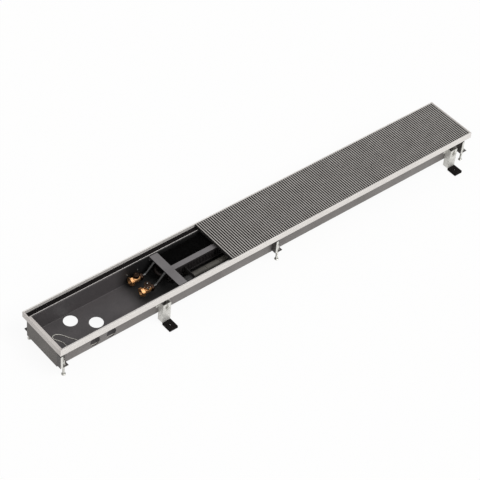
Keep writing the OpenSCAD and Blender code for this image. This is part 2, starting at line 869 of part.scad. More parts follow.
module blade_section() {
    intersection() {
        circle(r = impeller_r, $fn = fine);
        for (i = [0 : blade_count - 1])
            rotate([0, 0, 360 * i / blade_count])
                translate([impeller_r - blade_w / 2, 0])
                    rotate([0, 0, blade_rake])
                        square([blade_w, blade_t], center = true);
    }
}

// An impeller from x_left to x_right: raked blades between discs.
module impeller(x_left, x_right) {
    bay = (x_right - x_left - disc_t) / bay_count;
    color([0.35, 0.35, 0.34])
    translate([x_left, axis_y, axis_z]) rotate([90, 0, 90]) {
        linear_extrude(x_right - x_left) blade_section();
        for (i = [0 : bay_count]) {
            hole_r = (i == 0 || i == bay_count) ? impeller_bore : impeller_r - ring_w;
            translate([0, 0, i * bay])
                linear_extrude(disc_t)
                    difference() {
                        circle(r = impeller_r + run, $fn = fine);
                        circle(r = hole_r, $fn = fine);
                    }
        }
    }
}

module impeller_left() {
    impeller(bracket_xs[0] + bracket_t + bracket_gap, bracket_xs[1] - bracket_gap);
}

module impeller_right() {
    impeller(bracket_xs[1] + bracket_t + bracket_gap, bracket_xs[2] - bracket_gap);
}

module fan_shaft() {
    shaft_x = bracket_xs[0] - shaft_in;
    color([0.75, 0.75, 0.75])
    translate([shaft_x, axis_y, axis_z]) rod_x(shaft_r, bracket_xs[2] + bracket_t + bracket_gap - shaft_x);
}

module fan_motor() {
    color([0.12, 0.12, 0.12])
    translate([bracket_xs[0] - motor_l, axis_y, axis_z])
        difference() {
            union() {
                rod_x(motor_r, motor_l);
                translate([-motor_cap_l, 0, 0]) rod_x(motor_cap_r, motor_cap_l + over);
            }
            translate([motor_l - shaft_in - fit, 0, 0]) rod_x(shaft_r + run, shaft_in + fit + over);
        }
}

module fan_brackets() {
    color([0.45, 0.45, 0.45])
    for (x = bracket_xs)
        translate([x, 0, 0])
            difference() {
                union() {
                    translate([0, bracket_y, floor_top])
                        cube([bracket_t, guide_y - fit - bracket_y, bracket_top - floor_top]);
                    translate([bracket_t / 2, bracket_y + bracket_tab, floor_top])
                        cube([bracket_tab, guide_y - fit - bracket_y - bracket_tab, bracket_t]);
                }
                translate([-over, axis_y, axis_z]) rod_x(bush_r, bracket_t + 2 * over);
            }
}

module bearing_bushes() {
    color([0.08, 0.08, 0.08])
    for (x = bracket_xs)
        translate([x, axis_y, axis_z])
            difference() {
                rod_x(bush_r - run, bracket_t);
                translate([-over, 0, 0]) rod_x(shaft_r + run, bracket_t + 2 * over);
            }
}

// Scroll: a sheet curved round the front and underside of the impellers.
module scroll_section() {
    scroll_r = impeller_r + scroll_gap;
    intersection() {
        difference() {
            circle(r = scroll_r + guide_t, $fn = round_fine);
            circle(r = scroll_r, $fn = round_fine);
        }
        translate([-scroll_r - guide_t - over, -scroll_r - guide_t - over])
            square([scroll_r + guide_t + over, scroll_rise_share * scroll_r]);
    }
    translate([0, -scroll_r - guide_t]) square([fan_y + guide_y - 2 * guide_t, guide_t]);
}

module fan_scroll() {
    color([0.3, 0.3, 0.3])
    for (i = [0, 1])
        translate([bracket_xs[i] + bracket_t, axis_y, axis_z])
            rotate([90, 0, 90])
                linear_extrude(bracket_xs[i + 1] - bracket_xs[i] - bracket_t) scroll_section();
}

// Levelling feet: a folded bracket on the wall, a nut on its seat and a screw with a round foot. The rear
// brackets are the front ones turned round.
level_y = half_w - wall_inset / 2;
level_face = 0.5;
level_cheek_dx = 22;
level_nut_af = 16;
level_nut_h = 8;
level_l = level_seat_z + level_nut_h + level_show;
socket_af = 5;
socket_l = 6;

module level_bracket(x) {
    front = -half_w + level_face;
    depth = wall_inset - level_face;
    translate([x - level_cheek_dx, 0, level_seat_z])
        difference() {
            union() {
                translate([0, front, -level_t]) cube([level_t, depth, level_h]);
                translate([0, front, -level_t]) cube([level_lip_w, level_t, level_h]);
                translate([0, front, -level_t]) cube([level_w, depth, level_t]);
                translate([0, -wall_y - level_t, -level_t]) cube([level_w, level_t, level_h]);
            }
            translate([level_cheek_dx, -level_y, -level_t - over])
                cylinder(r = level_r + run, h = level_t + 2 * over, $fn = fine);
            for (z = [level_screw_low, level_screw_top])
                translate([level_cheek_dx + level_screw_dx, -wall_y + over, z - level_seat_z])
                    rotate([90, 0, 0]) cylinder(r = screw_r, h = level_t + 2 * over, $fn = fine);
        }
}

module levelling_brackets() {
    color([0.72, 0.7, 0.68])
    for (turn = [0, 180], x = level_xs)
        rotate([0, 0, turn]) level_bracket(x);
}

module levelling_nuts() {
    color([0.6, 0.6, 0.58])
    both_sides()
        for (x = level_xs)
            translate([x, -level_y, level_seat_z])
                difference() {
                    hex_bar(level_nut_af, level_nut_h);
                    translate([0, 0, -over])
                        cylinder(r = level_r + run, h = level_nut_h + 2 * over, $fn = fine);
                }
}

module levelling_screw(x, side) {
    color([0.72, 0.73, 0.7])
    translate([x, side * level_y, 0])
        difference() {
            union() {
                cylinder(r = level_foot_r, h = level_foot_t, $fn = fine);
                cylinder(r = level_r, h = level_l, $fn = fine);
            }
            translate([0, 0, level_l - socket_l]) hex_bar(socket_af, socket_l + over);
        }
}

module levelling_screw_fl() {
    levelling_screw(level_xs[0], -1);
}

module levelling_screw_fm() {
    levelling_screw(level_xs[1], -1);
}

module levelling_screw_fr() {
    levelling_screw(level_xs[2], -1);
}

module levelling_screw_rl() {
    levelling_screw(level_xs[0], 1);
}

module levelling_screw_rm() {
    levelling_screw(level_xs[1], 1);
}

module levelling_screw_rr() {
    levelling_screw(level_xs[2], 1);
}

// Anchors: a folded bracket on the wall holds an angle foot, whose toe lies in a rubber pad.
anchor_face = half_w + anchor_proud;
anchor_low = 9;
toe_z = 4;
toe_t = 2.5;
toe_side = 5;
toe_end = 4;
toe_w = pad_w - 2 * toe_side;
toe_l = pad_l - toe_end;
leg_drop = 10;
leg_top = anchor_top - leg_drop;
anchor_bolt_drop = 20;
anchor_bolt_z = anchor_top - anchor_bolt_drop;
anchor_bolt_r = 4;
anchor_bolt_af = 13;
anchor_bolt_h = 5.5;
washer_r = 8;
washer_t = 1.5;
anchor_slot_w = 9;
anchor_slot_l = 34;
anchor_hole_r = 2.5;
anchor_hole_z = 46;
pad_y = anchor_face + fit + pad_l / 2;

module anchor_bracket(x) {
    depth = anchor_face - wall_y;
    translate([x, 0, 0])
        difference() {
            union() {
                translate([-anchor_w / 2, -anchor_face, anchor_low])
                    cube([anchor_w, anchor_t, anchor_top - anchor_low]);
                for (s = [-1, 1])
                    translate([s > 0 ? anchor_w / 2 - anchor_t : -anchor_w / 2, -anchor_face, anchor_low])
                        cube([anchor_t, depth, anchor_top - anchor_low]);
                for (s = [-1, 1])
                    translate([s > 0 ? anchor_w / 2 - anchor_t / 2 : -anchor_w / 2 - anchor_flange_w,
                               -wall_y - anchor_t, anchor_top - 2 * anchor_flange_w])
                        cube([anchor_flange_w + anchor_t / 2, anchor_t, 2 * anchor_flange_w]);
            }
            translate([-anchor_slot_w / 2, -anchor_face - over, anchor_bolt_z - anchor_slot_l / 2])
                cube([anchor_slot_w, anchor_t + 2 * over, anchor_slot_l]);
            for (s = [-1, 1])
                translate([s * anchor_w / 4, -anchor_face + anchor_t + over, anchor_hole_z])
                    rotate([90, 0, 0]) cylinder(r = anchor_hole_r, h = anchor_t + 2 * over, $fn = fine);
            for (s = [-1, 1])
                translate([s * anchor_screw_dx, -wall_y + over, anchor_screw_z])
                    rotate([90, 0, 0]) cylinder(r = screw_r, h = anchor_t + 2 * over, $fn = fine);
        }
}

module anchor_brackets() {
    color([0.78, 0.77, 0.75])
    both_sides()
        for (x = anchor_xs)
            anchor_bracket(x);
}

module anchor_feet() {
    leg_y = -anchor_face + anchor_t;
    color([0.6, 0.6, 0.6])
    both_sides()
        for (x = anchor_xs)
            translate([x, 0, 0])
                difference() {
                    union() {
                        translate([-toe_w / 2, leg_y, toe_z]) cube([toe_w, toe_t, leg_top - toe_z]);
                        translate([-toe_w / 2, -anchor_face - toe_l, toe_z])
                            cube([toe_w, toe_l + anchor_t + toe_t / 2, toe_t]);
                    }
                    translate([0, leg_y + toe_t + over, anchor_bolt_z])
                        rotate([90, 0, 0])
                            cylinder(r = anchor_bolt_r + run, h = toe_t + 2 * over, $fn = fine);
                    translate([0, -pad_y, toe_z - over])
                        cylinder(r = pad_hole_r, h = toe_t + 2 * over, $fn = fine);
                }
}

module anchor_pads() {
    color([0.1, 0.09, 0.09])
    both_sides()
        for (x = anchor_xs)
            translate([x, 0, 0])
                difference() {
                    translate([-pad_w / 2, -anchor_face - fit - pad_l, 0]) cube([pad_w, pad_l, pad_t]);
                    translate([-toe_w / 2 - run, -anchor_face - toe_l - run, toe_z])
                        cube([toe_w + 2 * run, toe_l + over, toe_t + run]);
                    translate([0, -pad_y, -over]) cylinder(r = pad_hole_r, h = pad_t + 2 * over, $fn = fine);
                }
}

module anchor_bolts() {
    inner = -anchor_face + anchor_t + toe_t;
    bolt_reach = anchor_t + toe_t + 2 * anchor_bolt_h;
    color([0.7, 0.7, 0.68])
    both_sides()
        for (x = anchor_xs) {
            translate([x, -anchor_face, anchor_bolt_z])
                rotate([90, 0, 0]) {
                    cylinder(r = washer_r, h = washer_t, $fn = fine);
                    translate([0, 0, washer_t]) hex_bar(anchor_bolt_af, anchor_bolt_h);
                    translate([0, 0, -bolt_reach])
                        cylinder(r = anchor_bolt_r, h = bolt_reach + over, $fn = fine);
                }
            translate([x, inner, anchor_bolt_z])
                rotate([-90, 0, 0])
                    difference() {
                        hex_bar(anchor_bolt_af, anchor_bolt_h);
                        translate([0, 0, -over])
                            cylinder(r = anchor_bolt_r + run, h = anchor_bolt_h + 2 * over, $fn = fine);
                    }
        }
}

module wall_screws() {
    color([0.65, 0.65, 0.65]) {
        for (turn = [0, 180], x = level_xs, z = [level_screw_low, level_screw_top])
            rotate([0, 0, turn]) translate([x + level_screw_dx, -wall_y - level_t, z])
                rotate([90, 0, 0])
                    fastener(screw_r - run, level_t + sheet_t + screw_tail, screw_head_r, screw_head_h);
        both_sides()
            for (x = anchor_xs, s = [-1, 1])
                translate([x + s * anchor_screw_dx, -wall_y - anchor_t, anchor_screw_z])
                    rotate([90, 0, 0])
                        fastener(screw_r - run, anchor_t + sheet_t + screw_tail, screw_head_r,
                                 screw_head_h);
    }
}

// Terminal box in the front corner, and the fan's lead that runs to it.
box_left = box_x - half_l;
box_front = -inner_y + bend_r - sheet_t;
lid_t = box_wall;

module terminal_box() {
    color([0.16, 0.16, 0.17])
    translate([box_left, box_front, floor_top])
        difference() {
            cube([box_l, box_w, box_h - lid_t]);
            translate([box_wall, box_wall, box_wall])
                cube([box_l - 2 * box_wall, box_w - 2 * box_wall, box_h]);
        }
}

module terminal_lid() {
    color([0.2, 0.2, 0.21])
    translate([box_left, box_front, floor_top + box_h - lid_t]) cube([box_l, box_w, lid_t]);
}

// The lead's route, from the motor along the front corner, round a loop and back into the box. Its points are
// measured from the frame's left end, the front wall's inner face and the top of the trough's floor.
lead_route = [[656.5, 20, 40], [641, 20, 38], [628, 17, 30], [615, 13, 20], [601, 10, 11], [585, 9, 4],
    [565, 9, 1.5], [195, 9, 1.5], [177, 10, 1.5], [163, 17, 1.5], [155, 31, 1.5], [152, 47, 1.5],
    [148, 62, 1.5], [140, 79, 1.5], [128, 95, 1.5], [118, 114, 1.5], [107, 130, 1.5], [92, 139, 1.5],
    [79, 137, 1.5], [74, 127, 1.5], [79, 115, 1.5], [88, 101, 1.5], [94, 86, 1.5], [95, 71, 2], [95, 57, 4],
    [95, 44, 7], [95, 31.1, 8]];
lead_sides = 8;
lead_steps = 3;
lead_run_share = 40;

function spline(a, b, c, d, t) =
    0.5 * (2 * b + (c - a) * t + (2 * a - 5 * b + 4 * c - d) * t * t + (3 * b - a - 3 * c + d) * t * t * t);
function route_at(p, i) = p[max(0, min(len(p) - 1, i))];
function is_long(p, i) = norm(p[i + 1] - p[i]) > lead_run_share * lead_d;
function smooth(p) = concat(
    [for (i = [0 : len(p) - 2])
        for (j = [0 : is_long(p, i) ? 0 : lead_steps - 1])
            spline(is_long(p, max(0, i - 1)) ? p[i] : route_at(p, i - 1), p[i], p[i + 1],
                   is_long(p, min(len(p) - 2, i + 1)) ? p[i + 1] : route_at(p, i + 2), j / lead_steps)],
    [p[len(p) - 1]]);
function heading(p, i) = unit(route_at(p, i + 1) - route_at(p, i - 1));

module fan_lead() {
    path = smooth(lead_route);
    count = len(path);
    last = (count - 1) * lead_sides;
    rings = [for (i = [0 : count - 1]) each ring(path[i], heading(path, i), lead_d / 2, lead_sides)];
    cap = [for (k = [1 : lead_sides - 2]) [0, k, k + 1]];
    far_cap = [for (f = cap) [last + f[0], last + f[2], last + f[1]]];
    color([0.75, 0.75, 0.73])
        translate([-half_l, -inner_y, floor_top])
            polyhedron(rings, concat(skin(0, count, lead_sides), cap, far_cap));
}

trough();
end_wall_left();
end_wall_right();
end_wall_rivets();
frame_front();
frame_rear();
frame_left();
frame_right();
frame_corner_keys();
ledge_strips();
grille_bars();
grille_rods();
grille_spacers();
bridge_left();
bridge_middle();
bridge_right();
bridge_screws();
air_guide();
exchanger_fins();
exchanger_tubes();
exchanger_bends();
exchanger_end_plates();
air_vent_body();
air_vent_screw();
supply_pipe();
return_pipe();
union_nuts();
thermostatic_valve();
valve_pin();
regulating_valve();
regulating_cap();
fan_motor();
fan_shaft();
impeller_left();
impeller_right();
fan_brackets();
bearing_bushes();
fan_scroll();
levelling_brackets();
levelling_nuts();
levelling_screw_fl();
levelling_screw_fm();
levelling_screw_fr();
levelling_screw_rl();
levelling_screw_rm();
levelling_screw_rr();
anchor_brackets();
anchor_feet();
anchor_pads();
anchor_bolts();
wall_screws();
terminal_box();
terminal_lid();
fan_lead();
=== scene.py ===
"""Looks of a trench convector heater: a sheet trough with a frame, a grille, a fan, an exchanger and valves.

Shapes are written in millimetres in the heater's own frame, X along the trough with the fittings at -X, Y
across it with the fan at -Y, Z up from the floor under the feet, and become metres when a piece is made.
"""

import json
import logging
import math
from dataclasses import dataclass, field
from enum import Enum
from typing import Callable, Iterable, Optional, Sequence

import bmesh
import bpy
from mathutils import Matrix, Vector

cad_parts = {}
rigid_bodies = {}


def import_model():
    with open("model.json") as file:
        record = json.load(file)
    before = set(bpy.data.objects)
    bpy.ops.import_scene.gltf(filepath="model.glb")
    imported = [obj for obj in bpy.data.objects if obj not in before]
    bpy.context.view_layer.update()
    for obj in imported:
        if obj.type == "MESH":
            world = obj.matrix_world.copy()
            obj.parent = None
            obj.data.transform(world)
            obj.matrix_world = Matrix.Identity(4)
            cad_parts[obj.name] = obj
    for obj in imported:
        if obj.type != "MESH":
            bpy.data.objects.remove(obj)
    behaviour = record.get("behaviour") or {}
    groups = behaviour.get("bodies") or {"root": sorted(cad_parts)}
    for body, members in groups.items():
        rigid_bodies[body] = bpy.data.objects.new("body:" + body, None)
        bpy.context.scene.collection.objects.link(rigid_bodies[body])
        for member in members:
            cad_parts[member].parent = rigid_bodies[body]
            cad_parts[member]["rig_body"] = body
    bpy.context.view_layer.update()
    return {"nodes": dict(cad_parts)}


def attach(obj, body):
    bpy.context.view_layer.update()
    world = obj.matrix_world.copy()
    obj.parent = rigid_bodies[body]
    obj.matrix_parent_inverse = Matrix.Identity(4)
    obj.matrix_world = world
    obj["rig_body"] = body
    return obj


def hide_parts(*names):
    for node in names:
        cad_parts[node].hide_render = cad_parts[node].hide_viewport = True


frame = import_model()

log = logging.getLogger("heater")
Point = Sequence[float]
MM = 0.001
# Points nearer than this are one point, in millimetres.
MERGE = 0.002
FINE_MERGE = 0.0005
# Faces that meet within FLAT degrees are one face, and past HARD degrees they have an edge to round.
FLAT = 0.5
HARD = 40.0
X_AXIS = Vector((1, 0, 0))
Y_AXIS = Vector((0, 1, 0))
Z_AXIS = Vector((0, 0, 1))


def linear(code: str) -> tuple[float, float, float, float]:
    """Turns a sRGB hex colour into linear light.

    Args:
        code: Six hex digits.

    Returns:
        Red, green, blue and a full alpha.
    """
    parts = [int(code[i : i + 2], 16) / 255 for i in (0, 2, 4)]
    bright = [c / 12.92 if c <= 0.04045 else ((c + 0.055) / 1.055) ** 2.4 for c in parts]
    return (*bright, 1.0)


def add_node(tree: bpy.types.NodeTree, kind: str, inputs: Optional[dict] = None,
             **settings: object) -> bpy.types.Node:
    """Adds a node with its settings, its values and its links.

    Args:
        tree: The node tree.
        kind: The node's type.
        inputs: Socket name or number to a value, or to the output socket that feeds it.
        **settings: The node's own properties.

    Returns:
        The node.
    """
    node = tree.nodes.new(kind)
    for key, value in settings.items():
        setattr(node, key, value)
    for key, value in (inputs or {}).items():
        if isinstance(value, bpy.types.NodeSocket):
            tree.links.new(value, node.inputs[key])
        else:
            node.inputs[key].default_value = value
    return node


class Grain(Enum):
    """How a surface was made, which gives its fine relief and its variation."""

    POWDER = "powder coat"
    DRAWN = "drawn or brushed along X"
    ACROSS = "drawn or brushed along Y"
    SPANGLE = "hot-dip zinc crystals"
    FORGED = "forged or cast skin"
    MOULDED = "moulded skin"


@dataclass(frozen=True)
class Finish:
    """A surface finish.

    Attributes:
        name: The material's name, for what it really is.
        colour: Its main colour, sRGB hex.
        shade: The colour of its darker patches, sRGB hex.
        roughness: Its mean roughness.
        metallic: How metallic it is.
        grain: How the surface was made.
        grain_mm: The size of that grain.
        relief_mm: The height of the grain's bumps.
        patch_mm: The size of the darker patches.
        coat: The weight of a clear coat.
        gloss: How strongly a surface that isn't metal mirrors, 0.5 for common paint.
        painted_shade_colour: The colour of the painted shade that it fades to along X, sRGB hex, or nothing.
        painted_shade_span_mm: Where that painted shade starts and ends on X.
        drawn_share: How many times longer than wide a drawn or brushed line is.
        coat_roughness: The roughness of the clear coat.
    """

    name: str
    colour: str
    shade: str
    roughness: float
    metallic: float = 0.0
    grain: Grain = Grain.POWDER
    grain_mm: float = 1.5
    relief_mm: float = 0.05
    patch_mm: float = 90.0
    coat: float = 0.0
    gloss: float = 0.5
    painted_shade_colour: str = ""
    painted_shade_span_mm: tuple[float, float] = (0.0, 1.0)
    drawn_share: float = 60.0
    coat_roughness: float = 0.12

    def material(self) -> bpy.types.Material:
        """Makes the material, or finds it if a piece has it already.

        Returns:
            The material.
        """
        found = bpy.data.materials.get(self.name)
        if found:
            return found
        made = bpy.data.materials.new(self.name)
        made.use_nodes = True
        made.diffuse_color = linear(self.colour)
        tree = made.node_tree
        shader = tree.nodes["Principled BSDF"]
        shader.inputs["Metallic"].default_value = self.metallic
        shader.inputs["Coat Weight"].default_value = self.coat
        shader.inputs["Specular IOR Level"].default_value = self.gloss
        if self.coat:
            shader.inputs["Coat Roughness"].default_value = self.coat_roughness
        place = add_node(tree, "ShaderNodeTexCoord").outputs["Object"]
        self._colours(tree, shader, place)
        self._relief(tree, shader, place)
        return made

    def _stretch(self) -> tuple[float, float, float]:
        """Works out how fine the grain is on each axis.

        Returns:
            The patterns to the metre on X, Y and Z.
        """
        fine = 1000 / self.grain_mm
        drawn = fine / self.drawn_share
        if self.grain is Grain.DRAWN:
            return (drawn, fine, fine)
        if self.grain is Grain.ACROSS:
            return (fine, drawn, fine)
        return (fine, fine, fine)

    def _colours(self, tree: bpy.types.NodeTree, shader: bpy.types.Node,
                 place: bpy.types.NodeSocket) -> None:
        """Lays the colour with its darker patches and its painted shade along X, and lets the roughness
        follow the patches.

        Args:
            tree: The material's nodes.
            shader: Its Principled shader.
            place: Object coordinates.
        """
        patches = add_node(
            tree, "ShaderNodeTexNoise",
            {"Vector": place, "Scale": 1000 / self.patch_mm, "Detail": 5.0, "Roughness": 0.6},
        ).outputs["Fac"]
        spots = add_node(
            tree, "ShaderNodeMapRange",
            {"Value": patches, "From Min": 0.38, "From Max": 0.72, "To Min": 0.0, "To Max": 1.0},
        ).outputs["Result"]
        colour = add_node(
            tree, "ShaderNodeMix", {0: spots, 6: linear(self.colour), 7: linear(self.shade)},
            data_type="RGBA",
        ).outputs[2]
        # Painted shade: the colour fades along X to a darker colour over the given span.
        if self.painted_shade_colour:
            along = add_node(tree, "ShaderNodeSeparateXYZ", {"Vector": place}).outputs["X"]
            start, end = (x * MM for x in self.painted_shade_span_mm)
            share = add_node(
                tree, "ShaderNodeMapRange", {"Value": along, "From Min": start, "From Max": end},
                interpolation_type="SMOOTHSTEP",
            ).outputs["Result"]
            colour = add_node(
                tree, "ShaderNodeMix", {0: share, 6: colour, 7: linear(self.painted_shade_colour)}, data_type="RGBA",
            ).outputs[2]
        tree.links.new(colour, shader.inputs["Base Color"])
        rough = add_node(
            tree, "ShaderNodeMapRange",
            {"Value": patches, "From Min": 0.3, "From Max": 0.7,
             "To Min": self.roughness - 0.05, "To Max": min(1.0, self.roughness + 0.07)},
        ).outputs["Result"]
        tree.links.new(rough, shader.inputs["Roughness"])

    def _relief(self, tree: bpy.types.NodeTree, shader: bpy.types.Node, place: bpy.types.NodeSocket) -> None:
        """Raises the grain as a bump.

        Args:
            tree: The material's nodes.
            shader: Its Principled shader.
            place: Object coordinates.
        """
        values = {"Vector": place, "Scale": self._stretch()}
        spread = add_node(tree, "ShaderNodeMapping", values).outputs["Vector"]
        if self.grain is Grain.SPANGLE:
            kind, value = "ShaderNodeTexVoronoi", {"Vector": spread, "Scale": 1.0, "Randomness": 1.0}
            height = add_node(tree, kind, value).outputs["Distance"]
        else:
            value = {"Vector": spread, "Scale": 1.0, "Detail": 3.0, "Roughness": 0.55}
            height = add_node(tree, "ShaderNodeTexNoise", value).outputs["Fac"]
        bump = add_node(
            tree, "ShaderNodeBump",
            {"Height": height, "Strength": 0.6, "Distance": self.relief_mm * MM},
        ).outputs["Normal"]
        tree.links.new(bump, shader.inputs["Normal"])


# Dark grey powder coat on folded sheet: a dead flat colour with a fine orange peel.
# Along X it fades to near black, with a soft edge beside the valves, where the exchanger and the fan lie:
# painted shade.
TROUGH_COAT_AND_PAINTED_SHADE = Finish("powder_coat_anthracite_and_painted_shade", "4C4849", "434041", 0.62, grain_mm=1.6, relief_mm=0.10,
                     painted_shade_colour="080707", painted_shade_span_mm=(-700.0, -615.0))
# The outside of the same sheets stays bare and dull, a lighter grey.
TROUGH_OUTSIDE = Finish("dull_grey_sheet", "7E7A78", "716D6B", 0.55, 0.2, Grain.DRAWN, 1.4, 0.02, 160)
# The end sheets' outside is a darker copy of that grey: painted shade where they face away from the light.
END_OUTSIDE_PAINTED_SHADE = Finish("dull_grey_end_sheet_painted_shade", "67635F", "5B5754", 0.55, 0.2, Grain.ACROSS, 1.4, 0.02, 160)
# The same coat in a lighter satin grey, on the bridges and the air guide.
INNER_COAT = Finish("powder_coat_grey", "6E6B6C", "625F60", 0.55, grain_mm=1.6, relief_mm=0.10)
# Its faces that don't look up, the one towards the fan among them, are darker: painted shade.
GUIDE_PAINTED_SHADE = Finish("powder_coat_painted_shade_face", "2F2C2C", "282525", 0.55, grain_mm=1.6, relief_mm=0.10,
                    gloss=0.3)
# Satin natural anodising on extruded aluminium: pale, with faint die lines along the profile.
FRAME_ANODISED = Finish("anodised_profile", "E2DEDA", "D8D4D0", 0.45, 0.2, Grain.DRAWN, 0.9, 0.02, 240)
# The end lengths take a darker copy of the same anodising: painted shade on the ends, which face away from
# the light.
FRAME_END_PAINTED_SHADE = Finish("anodised_profile_across_painted_shade", "CAC4C0", "BDB7B3", 0.45, 0.2, Grain.ACROSS, 0.9,
                            0.02, 240)
# Natural anodised grille bars, drawn along their own length.
GRILLE_ANODISED = Finish("anodised_grille_bar", "A9A5A1", "9C9894", 0.40, 0.4, Grain.ACROSS, 0.8, 0.02, 60)
# The bars' sides are a near-black copy of the bar finish: painted shade on every face that doesn't look up.
GRILLE_SIDE_PAINTED_SHADE = Finish("grille_bar_side_painted_shade", "1B1918", "151312", 0.6, 0.1, Grain.ACROSS, 0.8, 0.02, 60)
# Bright zinc on steel screws, pins and rods.
ZINC = Finish("zinc_plated_steel", "C4C3BE", "A9A8A2", 0.32, 1.0, Grain.FORGED, 1.2, 0.02, 14)
STEEL = Finish("ground_steel", "C9C8C6", "B4B3B0", 0.24, 1.0, Grain.DRAWN, 0.6, 0.01, 30)
RIVET = Finish("dull_rivet_aluminium", "8E8C89", "77756F", 0.42, 1.0, Grain.FORGED, 1.0, 0.02, 12)
# Hot-dip zinc: pale crystals a few millimetres across, duller than plating.
GALVANISED = Finish("galvanised_sheet", "E2E1DC", "CBC9C4", 0.45, 0.45, Grain.SPANGLE, 7.0, 0.03, 12)
# The levelling brackets are painted shade, a dark grey, except their lips, which keep the bare galvanised
# colour.
BRACKET_PAINTED_SHADE = Finish("bracket_painted_shade", "4B4745", "3A3735", 0.55, grain_mm=1.6, relief_mm=0.08)
# Rubber strip, pads and bushes: near black, matt, with the fine skin of its mould.
RUBBER = Finish("black_rubber", "0F0C0C", "171313", 0.85, grain=Grain.MOULDED, grain_mm=0.8, relief_mm=0.05,
                gloss=0.12)
# Stoved black on the exchanger's fins.
FIN_BLACK = Finish("black_stoved_fin", "060505", "0A0909", 0.65, 0.0, Grain.FORGED, 2.0, 0.04, 60, gloss=0.12)
BLACK_COAT = Finish("satin_black_coat", "121111", "1A1818", 0.45, grain_mm=1.4, relief_mm=0.08, gloss=0.3)
DARK_SHEET = Finish("dark_grey_coat", "242221", "1C1A19", 0.5, grain_mm=1.6, relief_mm=0.08, gloss=0.3)
# Pipes with a glossy black lacquer, which draws thin bright lines along them.
PIPE_LACQUER = Finish("black_pipe_lacquer", "141312", "1B1918", 0.24, 0.0, Grain.FORGED, 3.0, 0.03, 40, 0.4)
# Copper tube, darkened nearly to black: painted shade of the dark chamber round the exchanger.
COPPER_PAINTED_SHADE = Finish("copper_painted_shade", "1C1411", "120E0C", 0.55, 0.6, Grain.DRAWN, 1.2, 0.02, 18)
# Forged brass bodies and turned brass parts, with duller, browner patches.
BRASS = Finish("forged_brass", "CFA070", "7E5430", 0.48, 1.0, Grain.FORGED, 1.4, 0.05, 14)
# Bronzed tops of the valves, and the nuts of their unions.
BRONZED_BRASS = Finish("dark_bronzed_brass", "3E2F26", "2A201A", 0.42, 1.0, Grain.FORGED, 0.7, 0.015, 16)
BLACKENED_BRASS = Finish("blackened_red_brass", "33261F", "211915", 0.45, 1.0, Grain.FORGED, 1.2, 0.03, 12)
# Dull cast aluminium blades, slightly warm, darkened to a dark grey: painted shade of the trough they turn
# in.
IMPELLER_PAINTED_SHADE = Finish("aluminium_blade_painted_shade", "45423C", "322F2B", 0.55, 0.3, Grain.DRAWN, 1.2, 0.02, 50)
# Moulded housings and spacers.
BOX_PLASTIC = Finish("moulded_dark_plastic", "2A2A2C", "232325", 0.5, grain=Grain.MOULDED, grain_mm=0.7,
                     relief_mm=0.04)
LID_PLASTIC = Finish("moulded_grey_plastic", "38383A", "303032", 0.5, grain=Grain.MOULDED, grain_mm=0.7,
                     relief_mm=0.04)
SPACER_PLASTIC = Finish("moulded_black_spacer", "1D1C1C", "161515", 0.55, grain=Grain.MOULDED, grain_mm=0.7,
                        relief_mm=0.03)
# Light grey sheath of the fan's lead, smooth from its die.
SHEATH = Finish("light_grey_sheath", "E2DFD6", "D2CFC6", 0.4, grain=Grain.MOULDED, grain_mm=1.0,
                relief_mm=0.02, patch_mm=40)


